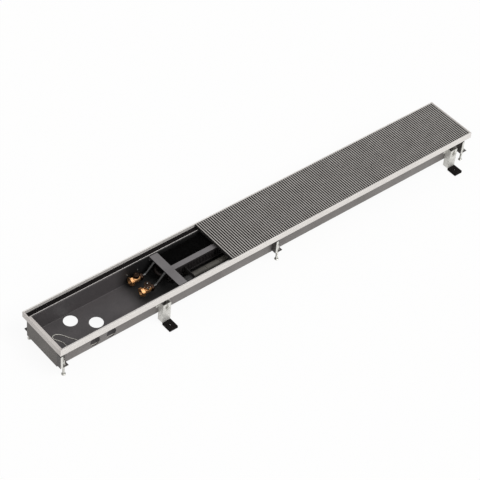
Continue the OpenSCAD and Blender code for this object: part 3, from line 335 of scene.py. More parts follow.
class Form:
    """A mesh in the making, in millimetres. Each method adds a closed shape."""

    # A nut's faces end this far inside its flats, and its corners slope over this share of their overhang.
    nut_rim = 0.3
    nut_slope_share = 0.45

    def __init__(self) -> None:
        """Starts with nothing."""
        self.bm = bmesh.new()

    @staticmethod
    def facing(axis: Vector, centre: Point) -> Matrix:
        """Gives the transform that turns +Z to an axis and moves the origin to a centre."""
        turn = Z_AXIS.rotation_difference(axis).to_matrix().to_4x4()
        return Matrix.Translation(Vector(centre)) @ turn

    def _soften(self, edges: Iterable[bmesh.types.BMEdge], by: float, segments: int = 2) -> None:
        """Rounds edges.

        Args:
            edges: The edges.
            by: The width of the rounding.
            segments: The number of facets across it.
        """
        bmesh.ops.bevel(
            self.bm, geom=list(edges), offset=by, offset_type="OFFSET", segments=segments, profile=0.5,
            affect="EDGES", clamp_overlap=True, material=-1,
        )

    def lathe(self, profile: Sequence[Point], centre: Point, axis: Vector = Z_AXIS, steps: int = 48,
              limit: Optional[Callable[[float], float]] = None) -> None:
        """Turns a profile round an axis.

        Args:
            profile: Points as height along the axis and radius, with a third value where the limit holds.
            centre: Where the axis starts.
            axis: Its direction.
            steps: The number of facets round it.
            limit: Gives the largest radius at an angle, as flats and flutes need.
        """
        start = [self.bm.verts.new((p[1], 0, p[0])) for p in profile]
        rims = [self.bm.edges.new(pair) for pair in zip(start, start[1:])]
        limited = {round(p[0], 4) for p in profile if len(p) > 2}
        free = {(round(p[0], 4), round(p[1], 4)) for p in profile if len(p) < 3}
        before = set(self.bm.verts) - set(start)
        bmesh.ops.spin(self.bm, geom=start + rims, cent=(0, 0, 0), axis=(0, 0, 1), angle=2 * math.pi,
                       steps=steps, use_merge=True, use_duplicate=False)
        made = [v for v in self.bm.verts if v not in before]
        if limit:
            for v in made:
                radius = math.hypot(v.co.x, v.co.y)
                if round(v.co.z, 4) in limited and (round(v.co.z, 4), round(radius, 4)) not in free:
                    scale = min(1.0, limit(math.atan2(v.co.y, v.co.x)) / radius)
                    v.co.x *= scale
                    v.co.y *= scale
        bmesh.ops.remove_doubles(self.bm, verts=made, dist=FINE_MERGE)
        made = [v for v in self.bm.verts if v not in before]
        stand = self.facing(axis, centre)
        bmesh.ops.transform(self.bm, matrix=stand, space=Matrix.Identity(4), verts=made)
        bmesh.ops.recalc_face_normals(self.bm, faces=list({f for v in made for f in v.link_faces}))

    def rod(self, centre: Point, axis: Vector, length: float, radius: float, soft: float = 0.0,
            steps: int = 32) -> None:
        """Adds a round bar with softened ends.

        Args:
            centre: The middle of its first end.
            axis: Its direction.
            length: Its length.
            radius: Its radius.
            soft: The chamfer of its ends.
            steps: The number of facets round it.
        """
        self.lathe([(0, 0), (0, radius - soft), (soft, radius), (length - soft, radius),
                    (length, radius - soft), (length, 0)], centre, axis, steps)

    def hex_nut(self, centre: Point, axis: Vector, flats: float, height: float, bore: float) -> None:
        """Adds a hexagonal nut with chamfered corners, or a solid head where the bore is zero.

        Args:
            centre: The middle of its underside.
            axis: Its direction.
            flats: The width across its flats.
            height: Its height.
            bore: The radius of its bore.
        """
        corner = hex_corner(flats)
        slope = (corner - flats / 2) * self.nut_slope_share
        rim = flats / 2 - self.nut_rim
        outer = [(0, rim), (slope, corner, 1), (height - slope, corner, 1), (height, rim)]
        inner = [(height, bore), (0, bore)] if bore else []
        profile = outer + inner + outer[:1] if bore else [(0, 0)] + outer + [(height, 0)]
        self.lathe(profile, centre, axis, 48, hexagon(flats))

    def thread(self, centre: Point, radius: float, depth: float, pitch: float, length: float) -> None:
        """Adds a screw thread that climbs along Z, closed at both ends.

        Args:
            centre: The middle of its lower end.
            radius: The radius over its crests.
            depth: The depth of its grooves.
            pitch: The climb in a turn.
            length: Its length.
        """
        steps, turns = 24, int(length / pitch) - 1
        x, y, z = centre
        root = x + radius - depth
        corners = [(root, y, z), (x + radius, y, z + pitch / 2), (root, y, z + pitch)]
        start = [self.bm.verts.new(corner) for corner in corners]
        edges = [self.bm.edges.new(pair) for pair in zip(start, start[1:])]
        before = set(self.bm.verts) - set(start)
        bmesh.ops.spin(self.bm, geom=start + edges, cent=(x, y, z), axis=(0, 0, 1),
                       dvec=(0, 0, pitch / steps), angle=2 * math.pi * turns, steps=steps * turns,
                       use_merge=False, use_duplicate=False)
        made = [v for v in self.bm.verts if v not in before]
        bmesh.ops.remove_doubles(self.bm, verts=made, dist=MERGE)
        made = [v for v in self.bm.verts if v not in before]
        open_edges = [e for e in {e for v in made for e in v.link_edges} if e.is_boundary]
        bmesh.ops.holes_fill(self.bm, edges=open_edges, sides=0)
        bmesh.ops.recalc_face_normals(self.bm, faces=list({f for v in made for f in v.link_faces}))

    def prism(self, outline: Sequence[Point], axis: Vector, start: float, end: float) -> None:
        """Adds a straight profile.

        Args:
            outline: Its section's points, as the two other axes in their order.
            axis: X_AXIS, Y_AXIS or Z_AXIS, along which it runs.
            start: Where it starts on that axis.
            end: Where it ends.
        """
        if axis is X_AXIS:
            points = [(start, a, b) for a, b in outline]
        elif axis is Y_AXIS:
            points = [(a, start, b) for a, b in outline]
        else:
            points = [(a, b, start) for a, b in outline]
        face = self.bm.faces.new([self.bm.verts.new(p) for p in points])
        made = bmesh.ops.extrude_face_region(self.bm, geom=[face])["geom"]
        moved = [v for v in made if isinstance(v, bmesh.types.BMVert)]
        bmesh.ops.translate(self.bm, verts=moved, vec=axis * (end - start))
        faces = {f for v in moved for f in v.link_faces} | {face}
        bmesh.ops.recalc_face_normals(self.bm, faces=list(faces))

    def sweep(self, path: Sequence[Vector], radius: float, sides: int, bore: float = 0.0) -> None:
        """Draws a round tube along a path.

        Args:
            path: The points of its middle line.
            radius: Its outer radius.
            sides: The number of facets round it.
            bore: The radius of its bore, or zero for a solid cord.
        """
        loops = [self._swept_skin(path, radius, sides)]
        if bore:
            loops.append(self._swept_skin(path, bore, sides))
            for end in (0, 1):
                bmesh.ops.bridge_loops(self.bm, edges=loops[0][end] + loops[1][end])
        else:
            for end in (0, 1):
                bmesh.ops.contextual_create(self.bm, geom=loops[0][end])
        touched = {f for pair in loops for rim in pair for e in rim for f in e.link_faces}
        bmesh.ops.recalc_face_normals(self.bm, faces=list(self._island(touched)))

    @staticmethod
    def _island(faces: set) -> set:
        """Finds all the faces that join the given ones.

        Args:
            faces: Some faces of a shape.

        Returns:
            All the faces of that shape.
        """
        found, front = set(faces), list(faces)
        while front:
            for edge in front.pop().edges:
                for near in edge.link_faces:
                    if near not in found:
                        found.add(near)
                        front.append(near)
        return found

    def _swept_skin(self, path: Sequence[Vector], radius: float, sides: int) -> tuple[list, list]:
        """Draws one skin of a tube.

        Args:
            path: The points of its middle line.
            radius: Its radius.
            sides: The number of facets round it.

        Returns:
            The edges of its two open ends.
        """
        first = None
        rim = []
        for i, place in enumerate(path):
            along = (path[min(i + 1, len(path) - 1)] - path[max(i - 1, 0)]).normalized()
            side = along.cross(Z_AXIS).normalized()
            turn = Matrix((side, along.cross(side) * -1, along)).transposed().to_4x4()
            stand = Matrix.Translation(place) @ turn
            if first is None:
                made = bmesh.ops.create_circle(self.bm, cap_ends=False, radius=radius, segments=sides,
                                               matrix=stand)
                rim = list({e for v in made["verts"] for e in v.link_edges})
                first = list(rim)
            else:
                made = bmesh.ops.extrude_edge_only(self.bm, edges=rim)["geom"]
                verts = [v for v in made if isinstance(v, bmesh.types.BMVert)]
                step = stand @ before.inverted()
                bmesh.ops.transform(self.bm, matrix=step, space=Matrix.Identity(4), verts=verts)
                rim = [e for e in made if isinstance(e, bmesh.types.BMEdge)]
            before = stand
        return first, rim

    def copy_of(self, node: str, soft: float, segments: int = 2) -> None:
        """Adds a copy of a CAD node's mesh with its hard edges rounded.

        Args:
            node: The node.
            soft: The rounding of its edges.
            segments: The number of facets across it.
        """
        self.bm.from_mesh(frame["nodes"][node].data)
        bmesh.ops.scale(self.bm, vec=(1 / MM, 1 / MM, 1 / MM), verts=self.bm.verts)
        bmesh.ops.remove_doubles(self.bm, verts=self.bm.verts, dist=MERGE)
        bmesh.ops.dissolve_limit(self.bm, angle_limit=math.radians(FLAT), verts=self.bm.verts,
                                 edges=self.bm.edges, use_dissolve_boundaries=False, delimit=set())
        turn = math.radians(HARD)
        hard = [e for e in self.bm.edges if len(e.link_faces) == 2 and e.calc_face_angle(0) > turn]
        self._soften(hard, soft, segments)

    def piece(self, name: str, finish: Finish, replaces: Sequence[str] = (),
              body: Optional[str] = None, smooth: float = 38.0) -> bpy.types.Object:
        """Makes the shape a piece of the heater.

        Args:
            name: The piece's name.
            finish: Its finish.
            replaces: The CAD nodes that it stands for.
            body: The body that it rides on, or the body of the first node that it replaces.
            smooth: The angle in degrees above which an edge stays sharp.

        Returns:
            The piece.
        """
        bmesh.ops.scale(self.bm, vec=(MM, MM, MM), verts=self.bm.verts)
        for face in self.bm.faces:
            face.smooth = True
        mesh = bpy.data.meshes.new(name)
        self.bm.to_mesh(mesh)
        self.bm.free()
        mesh.set_sharp_from_angle(angle=math.radians(smooth))
        mesh.materials.append(finish.material())
        made = bpy.data.objects.new(name, mesh)
        bpy.context.scene.collection.objects.link(made)
        weighted = made.modifiers.new("even_normals", "WEIGHTED_NORMAL")
        weighted.keep_sharp = True
        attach(made, body or frame["nodes"][replaces[0]]["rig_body"])
        if replaces:
            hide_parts(*replaces)
        log.info("%s: %d faces, %s", name, len(mesh.polygons), finish.name)
        return made


def hex_corner(flats: float) -> float:
    """Gives the radius of a hexagon's corners, for its width across flats."""
    return flats / 2 / math.cos(math.radians(30))


def hexagon(flats: float) -> Callable[[float], float]:
    """Makes the function of a hexagon's outline.

    Args:
        flats: Its width across flats.

    Returns:
        A function that gives its radius at an angle.
    """
    def radius(angle: float) -> float:
        """Gives the hexagon's radius at an angle in radians."""
        return flats / 2 / math.cos(angle % math.radians(60) - math.radians(30))
    return radius


def dress(node: str, finish: Finish) -> None:
    """Gives a CAD node that stays its finish.

    Args:
        node: The node.
        finish: Its finish.
    """
    mesh = frame["nodes"][node].data
    mesh.materials.clear()
    mesh.materials.append(finish.material())
    log.info("%s stays, %s", node, finish.name)


def two_tone(made: bpy.types.Object, finish: Finish, where: Callable[[Vector, Vector], bool]) -> None:
    """Gives some faces of a piece a second finish.

    Args:
        made: The piece.
        finish: The second finish.
        where: Tells from a face's middle in millimetres and its normal whether it takes that finish.
    """
    made.data.materials.append(finish.material())
    for face in made.data.polygons:
        if where(face.center / MM, face.normal):
            face.material_index = 1


def softened(node: str, name: str, finish: Finish, soft: float,
             segments: int = 2) -> bpy.types.Object:
    """Replaces a CAD node by a copy of it with rounded edges.

    Args:
        node: The node.
        name: The piece's name.
        finish: Its finish.
        soft: The rounding of its edges.
        segments: The number of facets across it.

    Returns:
        The piece.
    """
    form = Form()
    form.copy_of(node, soft, segments)
    return form.piece(name, finish, [node])


@dataclass
class Trough:
    """The sheet trough and its end walls, with the blind rivets that hold them."""

    rivet_x: float = 1114.0
    rivet_y: float = 100.1
    rivet_zs: tuple[float, float] = (59.2, 121.3)
    rivet_r: float = 4.0
    rivet_h: float = 1.3
    rivet_shank_r: float = 1.9
    rivet_shank_l: float = 2.4
    rivet_hole_r: float = 1.1
    rivet_lip: float = 0.4
    edge: float = 0.3
    skin_x: float = 1121.9
    skin_y: float = 101.9
    skin_z: float = 45.6

    def build(self) -> None:
        """Makes the sheets and the rivets."""
        for node, name, outside in (("trough", "trough_sheet", TROUGH_OUTSIDE),
                                    ("end_wall_left", "end_sheet_left", END_OUTSIDE_PAINTED_SHADE),
                                    ("end_wall_right", "end_sheet_right", END_OUTSIDE_PAINTED_SHADE)):
            sheet = softened(node, name, TROUGH_COAT_AND_PAINTED_SHADE, self.edge)
            # Outside faces take the bare grey; on the end sheets it is the darker copy, painted shade.
            two_tone(sheet, outside, self._faces_out)
        form = Form()
        for side in (-1, 1):
            for end in (-1, 1):
                for z in self.rivet_zs:
                    self._rivet(form, (end * self.rivet_x, side * self.rivet_y, z), Vector((0, -side, 0)))
        form.piece("blind_rivets", RIVET, ["end_wall_rivets"])

    def _faces_out(self, centre: Vector, normal: Vector) -> bool:
        """Tells whether a face lies on the outside of the trough.

        Args:
            centre: The face's middle.
            normal: Its normal.

        Returns:
            Whether it does.
        """
        wide = abs(centre.y) > self.skin_y and normal.y * centre.y > 0
        long = abs(centre.x) > self.skin_x and normal.x * centre.x > 0
        return wide or long or (centre.z < self.skin_z and normal.z < 0)

    def _rivet(self, form: Form, centre: Point, axis: Vector) -> None:
        """Adds a domed blind rivet with its hollow middle and its shank.

        Args:
            form: The form that takes it.
            centre: The middle of its head's underside.
            axis: The way its head faces.
        """
        r, h, hole, shank, tail = (self.rivet_r, self.rivet_h, self.rivet_hole_r, self.rivet_shank_r,
                                   self.rivet_shank_l)
        form.lathe([(-tail, 0), (-tail, shank), (0, shank), (0, r), (h * 0.35, r * 0.93), (h * 0.8, r * 0.6),
                    (h, hole + self.rivet_lip), (h, hole), (h * 0.35, hole), (h * 0.35, 0)],
                   centre, axis, 24)


@dataclass
class EdgeFrame:
    """The four mitred lengths of the aluminium frame, its corner keys and the rubber strip on its ledge."""

    edge: float = 0.45
    key_edge: float = 0.3
    strip_top: float = 142.0
    strip_low: float = 140.5
    strip_out: float = 127.7
    strip_front_w: float = 15.6
    strip_rear_w: float = 20.3
    strip_end_w: float = 11.4
    strip_end: float = 1122.7
    strip_gap: float = 0.3
    rib_count: int = 5
    rib_h: float = 0.5
    rib_slope_share: float = 0.2

    def build(self) -> None:
        """Makes the lengths, the keys and the strip."""
        # The end lengths take the darker copy of the anodising, which is painted shade.
        for sides, finish in (("front", "rear"), FRAME_ANODISED), (("left", "right"), FRAME_END_PAINTED_SHADE):
            for side in sides:
                softened(f"frame_{side}", f"frame_length_{side}", finish, self.edge)
        softened("frame_corner_keys", "corner_keys", ZINC, self.key_edge)
        form = Form()
        for side, width in ((-1, self.strip_front_w), (1, self.strip_rear_w)):
            middle, end_middle = self.strip_out - width / 2, self.strip_end - self.strip_end_w / 2
            form.prism(self._section(side * middle, width), X_AXIS, -self.strip_end, self.strip_end)
            form.prism(self._section(side * end_middle, self.strip_end_w), Y_AXIS,
                       -self.strip_out + self.strip_front_w + self.strip_gap,
                       self.strip_out - self.strip_rear_w - self.strip_gap)
        form.piece("ribbed_strip", RUBBER, ["ledge_strips"])

    def _section(self, middle: float, width: float) -> list[tuple[float, float]]:
        """Gives the strip's section with rounded ribs along its top.

        Args:
            middle: Where its middle lies across.
            width: Its width, which is cut to what each side shows.

        Returns:
            Its outline.
        """
        half = width / 2
        pitch = width / self.rib_count
        groove = self.strip_top - self.rib_h
        points = [(middle - half, self.strip_low), (middle + half, self.strip_low)]
        for i in range(self.rib_count, 0, -1):
            x = middle - half + i * pitch
            slope = pitch * self.rib_slope_share
            points += [(x, groove), (x - slope, self.strip_top), (x - pitch + slope, self.strip_top)]
        return points + [(middle - half, groove)]


@dataclass
class Grille:
    """The grille's bars, rods and spacers."""

    top_slope: float = 0.3

    def build(self) -> None:
        """Dresses the bars, the rods and the spacers."""
        dress("grille_bars", GRILLE_ANODISED)
        bars = frame["nodes"]["grille_bars"]
        # Faces of the bars that don't look up take the painted shade.
        two_tone(bars, GRILLE_SIDE_PAINTED_SHADE, lambda centre, normal: normal.z < self.top_slope)
        dress("grille_rods", ZINC)
        dress("grille_spacers", SPACER_PLASTIC)


class Head(Enum):
    """The kinds of small screw head, as height, radius and recess radius in millimetres."""

    PAN = (2.2, 4.0, 1.3)
    LID = (1.2, 1.8, 0.7)


def screw(form: Form, centre: Point, axis: Vector, kind: Head, tail: float, shank: float = 1.9) -> None:
    """Adds a screw with a domed head, a recess and a shank.

    Args:
        form: The form that takes it.
        centre: The middle of its head's underside.
        axis: The way its head faces.
        kind: Its head.
        tail: How far its shank reaches behind the head.
        shank: The shank's radius.
    """
    h, r, hole = kind.value
    form.lathe([(-tail, 0), (-tail, shank * 0.6), (-tail + 1, shank), (0, shank), (0, r), (h * 0.45, r),
                (h * 0.85, r * 0.75), (h, hole + 0.5), (h, hole), (h * 0.35, hole * 0.5), (h * 0.35, 0)],
               centre, axis, 24)


@dataclass
class Bridges:
    """The plates across the trough with their screws, and the slotted air guide under them."""

    xs: tuple[float, float, float] = (-498.0, 258.5, 1015.0)
    screw_dx: float = 10.0
    screw_y: float = 99.8
    screw_z: float = 123.8
    screw_l: float = 4.0
    edge: float = 0.4
    top_slope: float = 0.5

    def build(self) -> None:
        """Makes the plates and screws and dresses the guide."""
        for side in ("left", "middle", "right"):
            softened(f"bridge_{side}", f"bridge_plate_{side}", INNER_COAT, self.edge)
        dress("air_guide", INNER_COAT)
        guide = frame["nodes"]["air_guide"]
        # Faces of the guide that don't look up take the painted shade.
        two_tone(guide, GUIDE_PAINTED_SHADE, lambda centre, normal: normal.z < self.top_slope)
        form = Form()
        for side in (-1, 1):
            for x in self.xs:
                for s in (-1, 1):
                    seat = (x + s * self.screw_dx, side * self.screw_y, self.screw_z)
                    screw(form, seat, Vector((0, -side, 0)), Head.PAN, self.screw_l)
        form.piece("bridge_plate_screws", ZINC, ["bridge_screws"])


@dataclass
class Exchanger:
    """The finned exchanger: thin black fins close together on copper tubes, with its end plates and vent."""

    left: float = -476.0
    right: float = 933.0
    pitch: float = 3.0
    fin_t: float = 0.4
    y_low: float = -10.7
    y_high: float = 91.3
    z_low: float = 81.8
    z_high: float = 131.8
    rib: float = 0.45
    rib_steps: int = 8
    vent_af: float = 12.0
    vent_h: float = 7.0
    vent_bore: float = 2.6
    plug_h: float = 1.8
    plate_edge: float = 0.4
    screw_edge: float = 0.25
    vent_x: float = 943.0
    vent_y: float = 77.3
    vent_z: float = 129.8

    def build(self) -> None:
        """Makes the fins, the plates and the vent, and dresses the tubes."""
        form = Form()
        count = int((self.right - self.left) / self.pitch)
        for i in range(count):
            self._fin(form, self.left + (i + 0.5) * self.pitch)
        form.piece("exchanger_fin_pack", FIN_BLACK, ["exchanger_fins"], smooth=20)
        softened("exchanger_end_plates", "exchanger_plates", BLACK_COAT, self.plate_edge)
        # The tubes and bends take the copper darkened with painted shade.
        dress("exchanger_tubes", COPPER_PAINTED_SHADE)
        dress("exchanger_bends", COPPER_PAINTED_SHADE)
        vent = Form()
        seat = Vector((self.vent_x, self.vent_y, self.vent_z))
        vent.hex_nut(seat, Z_AXIS, self.vent_af, self.vent_h, self.vent_bore)
        vent.rod(seat + Z_AXIS * 0.2, Z_AXIS, self.plug_h, self.vent_bore + 0.1, 0.1, 24)
        vent.piece("vent_plug", BRASS, ["air_vent_body"])
        softened("air_vent_screw", "vent_screw", ZINC, self.screw_edge)

    def _fin(self, form: Form, x: float) -> None:
        """Adds a thin fin whose long edges are crimped into shallow waves.

        Args:
            form: The form that takes it.
            x: Where it stands.
        """
        steps = self.rib_steps
        half = self.fin_t / 2
        ys = [self.y_low + (self.y_high - self.y_low) * k / steps for k in range(steps + 1)]
        wave = [x + (self.rib if k % 2 else -self.rib) * (0 < k < steps) for k in range(steps + 1)]
        near = [(a - half, b) for a, b in zip(wave, ys)]
        outline = near + [(a + 2 * half, b) for a, b in reversed(near)]
        form.prism(outline, Z_AXIS, self.z_low, self.z_high)


@dataclass
class Pipes:
    """The two lacquered pipes that rise from the valves to the exchanger."""

    start: Point = (-576.5, 75.0)
    end: Point = (-484.0, 119.3)
    ys: tuple[float, float] = (3.3, 77.3)
    bend_r: float = 22.0
    slope: float = 45.0
    radius: float = 7.5
    wall: float = 1.0
    steps: int = 8

    def build(self) -> None:
        """Makes the pipes."""
        for y, side in zip(self.ys, ("supply", "return")):
            form = Form()
            form.sweep(self.route(y), self.radius, 32, self.radius - self.wall)
            form.piece(f"{side}_riser", PIPE_LACQUER, [f"{side}_pipe"])

    def route(self, y: float) -> list[Vector]:
        """Works out a pipe's middle line: straight, bend, slope, bend and straight.

        Args:
            y: Where the pipe lies across the trough.

        Returns:
            The points of the line.
        """
        angle = math.radians(self.slope)
        dx, dz = self.bend_r * math.sin(angle), self.bend_r * (1 - math.cos(angle))
        rise = self.end[1] - self.start[1]
        run = 2 * dx + (rise - 2 * dz) / math.tan(angle)
        tail = (self.end[0] - self.start[0] - run) / 2
        points = [Vector((self.start[0], y, self.start[1]))]
        ends = (self.start, 1, range(self.steps + 1)), (self.end, -1, range(self.steps, -1, -1))
        for (x, z), way, order in ends:
            for i in order:
                a = angle * i / self.steps
                points.append(Vector((x + way * (tail + self.bend_r * math.sin(a)), y,
                                      z + way * self.bend_r * (1 - math.cos(a)))))
        return points + [Vector((self.end[0], y, self.end[1]))]


@dataclass
class Valves:
    """The two brass valves: one takes a thermostatic head and has a pin, the other regulates under a cap."""

    x: float = -601.0
    z: float = 75.0
    ys: tuple[float, float] = (3.3, 77.3)
    body_r: float = 14.0
    half_l: float = 17.0
    inlet_l: float = 16.0
    inlet_af: float = 35.0
    bore_r: float = 10.5
    bore_l: float = 13.0
    neck_r: float = 11.0
    neck_h: float = 24.0
    collar_af: float = 27.0
    collar_h: float = 7.0
    thread_r: float = 15.0
    thread_h: float = 9.0
    thread_pitch: float = 1.5
    thread_depth: float = 0.8
    pin_bore: float = 2.56
    pin_edge: float = 0.5
    bore_ridges: int = 16
    bore_pitch: float = 0.75
    bore_depth: float = 0.7
    spigot_r: float = 7.3
    spigot_l: float = 7.2
    union_af: float = 30.0
    union_l: float = 15.0
    union_bore: float = 7.6
    union_hex_share: float = 0.6
    cap_r: float = 13.0
    cap_h: float = 14.0
    cap_top: float = 3.0
    cap_gap: float = 0.3
    flutes: int = 12
    flute_r: float = 1.5

    def build(self) -> None:
        """Makes the bodies, the nuts and the cap, and dresses the pin."""
        front, rear = self.ys
        thermostatic = Form()
        self._body(thermostatic, front)
        thermostatic.piece("thermostatic_valve_body", BRASS, ["thermostatic_valve"])
        ring = Form()
        self._head_thread(ring, front)
        ring.piece("threaded_head_ring", BRONZED_BRASS, body="trench")
        collar = Form()
        collar.hex_nut((self.x, front, self.z + self.neck_h - self.collar_h), Z_AXIS, self.collar_af,
                       self.collar_h, self.neck_r - 0.2)
        collar.piece("valve_collar", ZINC, body="trench")
        regulating = Form()
        self._body(regulating, rear)
        regulating.piece("regulating_valve_body", BRASS, ["regulating_valve"])
        nuts = Form()
        hex_l, bore = self.union_l * self.union_hex_share, self.union_bore
        for y in self.ys:
            nuts.hex_nut((self.x + self.half_l, y, self.z), X_AXIS, self.union_af, hex_l, bore)
            nuts.lathe([(hex_l, bore), (hex_l, 12.6), (self.union_l - 1.5, 12.2), (self.union_l, 10.4),
                        (self.union_l, bore), (hex_l, bore)], (self.x + self.half_l, y, self.z), X_AXIS)
        nuts.piece("union_nut_pair", BLACKENED_BRASS, ["union_nuts"])
        self._cap(rear)
        softened("valve_pin", "pressure_pin", STEEL, self.pin_edge)

    def _body(self, form: Form, y: float) -> None:
        """Adds a valve's body, its hexagonal threaded inlet, its neck and its spigot.

        Args:
            form: The form that takes it.
            y: Where the valve lies across the trough.
        """
        centre = (self.x, y, self.z)
        r, half = self.body_r, self.half_l
        form.lathe([(-half, 0), (-half, r - 1.2), (-half + 1.5, r - 0.4), (-half + 4, r - 1.4), (-7, r - 0.4),
                    (-3, r), (5, r), (9, r - 0.6), (12, r - 1.8), (half - 1, r - 2.2), (half, r - 3),
                    (half, 0)], centre, X_AXIS)
        mouth = (self.x - half - self.inlet_l, y, self.z)
        corner = hex_corner(self.inlet_af)
        groove = [(self.bore_l - i * self.bore_pitch, self.bore_r - (i % 2) * self.bore_depth)
                  for i in range(self.bore_ridges)]
        form.lathe([(self.bore_l, 0)] + groove + [(0.6, self.bore_r), (0, self.bore_r + 0.6),
                    (0, self.inlet_af / 2 - 0.4), (1.4, corner, 1), (self.inlet_l - 2.2, corner, 1),
                    (self.inlet_l - 1.2, self.inlet_af / 2 - 1.5), (self.inlet_l + 1, self.body_r - 1),
                    (self.inlet_l + 1, 0)], mouth, X_AXIS, 48, hexagon(self.inlet_af))
        neck, top = self.neck_r, self.neck_h
        form.lathe([(0, 0), (0, neck), (9, neck), (14, neck - 0.8), (15, neck - 1.6), (16.5, neck - 1.6),
                    (17.5, neck), (top - 0.6, neck), (top, neck - 0.6), (top, 0)], centre, Z_AXIS)
        form.rod((self.x + half - 1, y, self.z), X_AXIS, self.spigot_l, self.spigot_r, 0.4)

    def _head_thread(self, form: Form, y: float) -> None:
        """Adds the ring with a fine outer thread that takes the thermostatic head, round the pin's bore.

        Args:
            form: The form that takes it.
            y: Where the valve lies across the trough.
        """
        pitch, depth = self.thread_pitch, self.thread_depth
        ridges = int((self.thread_h - pitch) / pitch)
        r, top, seat = self.thread_r, self.thread_h, self.neck_r - 1
        profile = [(0, seat), (0, r - depth)]
        for i in range(ridges):
            profile += [(0.6 + (i + 0.5) * pitch, r), (0.6 + (i + 1) * pitch, r - depth)]
        profile += [(top - 0.5, r - 0.5), (top, r - 1.1), (top, 9.0), (top - 1.6, 8.4), (top - 1.6, 4.6),
                    (top - 0.4, 4.2), (top - 0.4, self.pin_bore), (-4, self.pin_bore), (-4, seat), (0, seat)]
        form.lathe(profile, (self.x, y, self.z + self.neck_h), Z_AXIS, 60)

    def _cap(self, y: float) -> None:
        """Makes the turned cap with its flutes and its dished top.

        Args:
            y: Where the valve lies across the trough.
        """
        form = Form()
        top, r, bore = self.cap_h, self.cap_r, self.neck_r + 0.1
        under = top - self.cap_top
        foot = (self.x, y, self.z + self.neck_h + self.cap_gap - under)
        form.lathe([(0, bore), (0, r - 0.6, 1), (0.6, r, 1), (top - 2.0, r, 1), (top - 0.9, r - 0.6, 1),
                    (top - 0.2, r - 1.8), (top, r - 3.0), (top, 6.2), (top - 0.9, 5.2), (top - 0.9, 0),
                    (under, 0), (under, bore), (0, bore)], foot, Z_AXIS, 144, self._fluted)
        form.piece("fluted_cap", BRONZED_BRASS, ["regulating_cap"])

    def _fluted(self, angle: float) -> float:
        """Works out the cap's outline with its flutes cut in.

        Args:
            angle: An angle in radians.

        Returns:
            The cap's radius there.
        """
        step = 2 * math.pi / self.flutes
        off = (angle + step / 2) % step - step / 2
        centre = self.cap_r + self.flute_r / 2
        reach = self.flute_r ** 2 - (centre * math.sin(off)) ** 2
        if reach <= 0:
            return self.cap_r
        return min(self.cap_r, centre * math.cos(off) - math.sqrt(reach))


@dataclass
class Fan:
    """The cross-flow fan: motor, shaft, impellers with curved blades, brackets, bushes and scroll."""

    y: float = -68.0
    z: float = 95.0
    motor_x: float = -468.0
    motor_l: float = 40.0
    motor_r: float = 22.0
    cap_r: float = 12.0
    cap_l: float = 5.0
    bore_r: float = 3.2
    bore_l: float = 18.0
    bolt_inset: float = 5.0
    bays: tuple[tuple[float, float], ...] = ((-420.0, 267.5), (281.5, 969.0))
    radius: float = 24.0
    blades: int = 22
    blade_w: float = 8.0
    blade_t: float = 0.8
    blade_inset: float = 0.4
    blade_lean: float = 0.32
    blade_bow: float = 0.18
    blade_steps: int = 4
    discs: int = 11
    disc_t: float = 2.0
    disc_edge: float = 0.3
    edge: float = 0.4

    def build(self) -> None:
        """Makes the motor and the impellers, and dresses the rest."""
        self._motor()
        for (start, end), side in zip(self.bays, ("left", "right")):
            self._impeller(start, end, side)
        dress("fan_shaft", STEEL)
        softened("fan_brackets", "fan_bracket_plates", DARK_SHEET, self.edge)
        dress("bearing_bushes", RUBBER)
        dress("fan_scroll", DARK_SHEET)

    def _motor(self) -> None:
        """Makes the motor's can with its seam grooves, end cap and bolts."""
        form = Form()
        r, length = self.motor_r, self.motor_l
        seam = [(8.6, r), (9, r - 0.7), (9.8, r - 0.7), (10.2, r)]
        form.lathe([(0, 0), (0, r - 2.2), (0.8, r - 0.8), (2.4, r)] + seam
                   + [(length - along, out) for along, out in reversed(seam)]
                   + [(length - 1.2, r), (length, r - 1.2), (length, self.bore_r),
                      (length - self.bore_l, self.bore_r), (length - self.bore_l, 0)],
                   (self.motor_x, self.y, self.z), X_AXIS, 64)
        cap, end = self.cap_r, self.cap_l + 0.6
        form.lathe([(0, 0), (0, cap - 1.6), (0.8, cap - 0.5), (2, cap), (end, cap), (end, 0)],
                   (self.motor_x - self.cap_l, self.y, self.z), X_AXIS)
        for k in range(3):
            a = math.radians(90 + 120 * k)
            ring = r - self.bolt_inset
            spot = (self.motor_x, self.y + ring * math.cos(a), self.z + ring * math.sin(a))
            screw(form, spot, -X_AXIS, Head.LID, 2.0, 1.2)
        form.piece("motor_can", BLACK_COAT, ["fan_motor"])

    def _impeller(self, start: float, end: float, side: str) -> None:
        """Makes an impeller: curved blades along X between thin discs.

        Args:
            start: Its left end.
            end: Its right end.
            side: Its name's ending.
        """
        form = Form()
        for k in range(self.blades):
            turn = 2 * math.pi * k / self.blades
            outer, inner = [], []
            for i in range(self.blade_steps + 1):
                share = i / self.blade_steps
                r = self.radius - self.blade_inset - self.blade_w * share
                a = turn + self.blade_lean * share + self.blade_bow * math.sin(math.pi * share)
                b = a + self.blade_t / r
                outer.append((self.y + r * math.cos(a), self.z + r * math.sin(a)))
                inner.append((self.y + r * math.cos(b), self.z + r * math.sin(b)))
            form.prism(outer + inner[::-1], X_AXIS, start, end)
        bay = (end - start - self.disc_t) / (self.discs - 1)
        rim, t, soft = self.radius, self.disc_t, self.disc_edge
        for i in range(self.discs):
            hole = self.bore_r if i in (0, self.discs - 1) else rim - self.blade_w - 2
            form.lathe([(0, hole), (0, rim - soft), (soft, rim), (t - soft, rim), (t, rim - soft), (t, hole),
                        (0, hole)], (start + i * bay, self.y, self.z), X_AXIS)
        # The blades take the aluminium darkened with painted shade.
        form.piece(f"impeller_wheel_{side}", IMPELLER_PAINTED_SHADE, [f"impeller_{side}"])


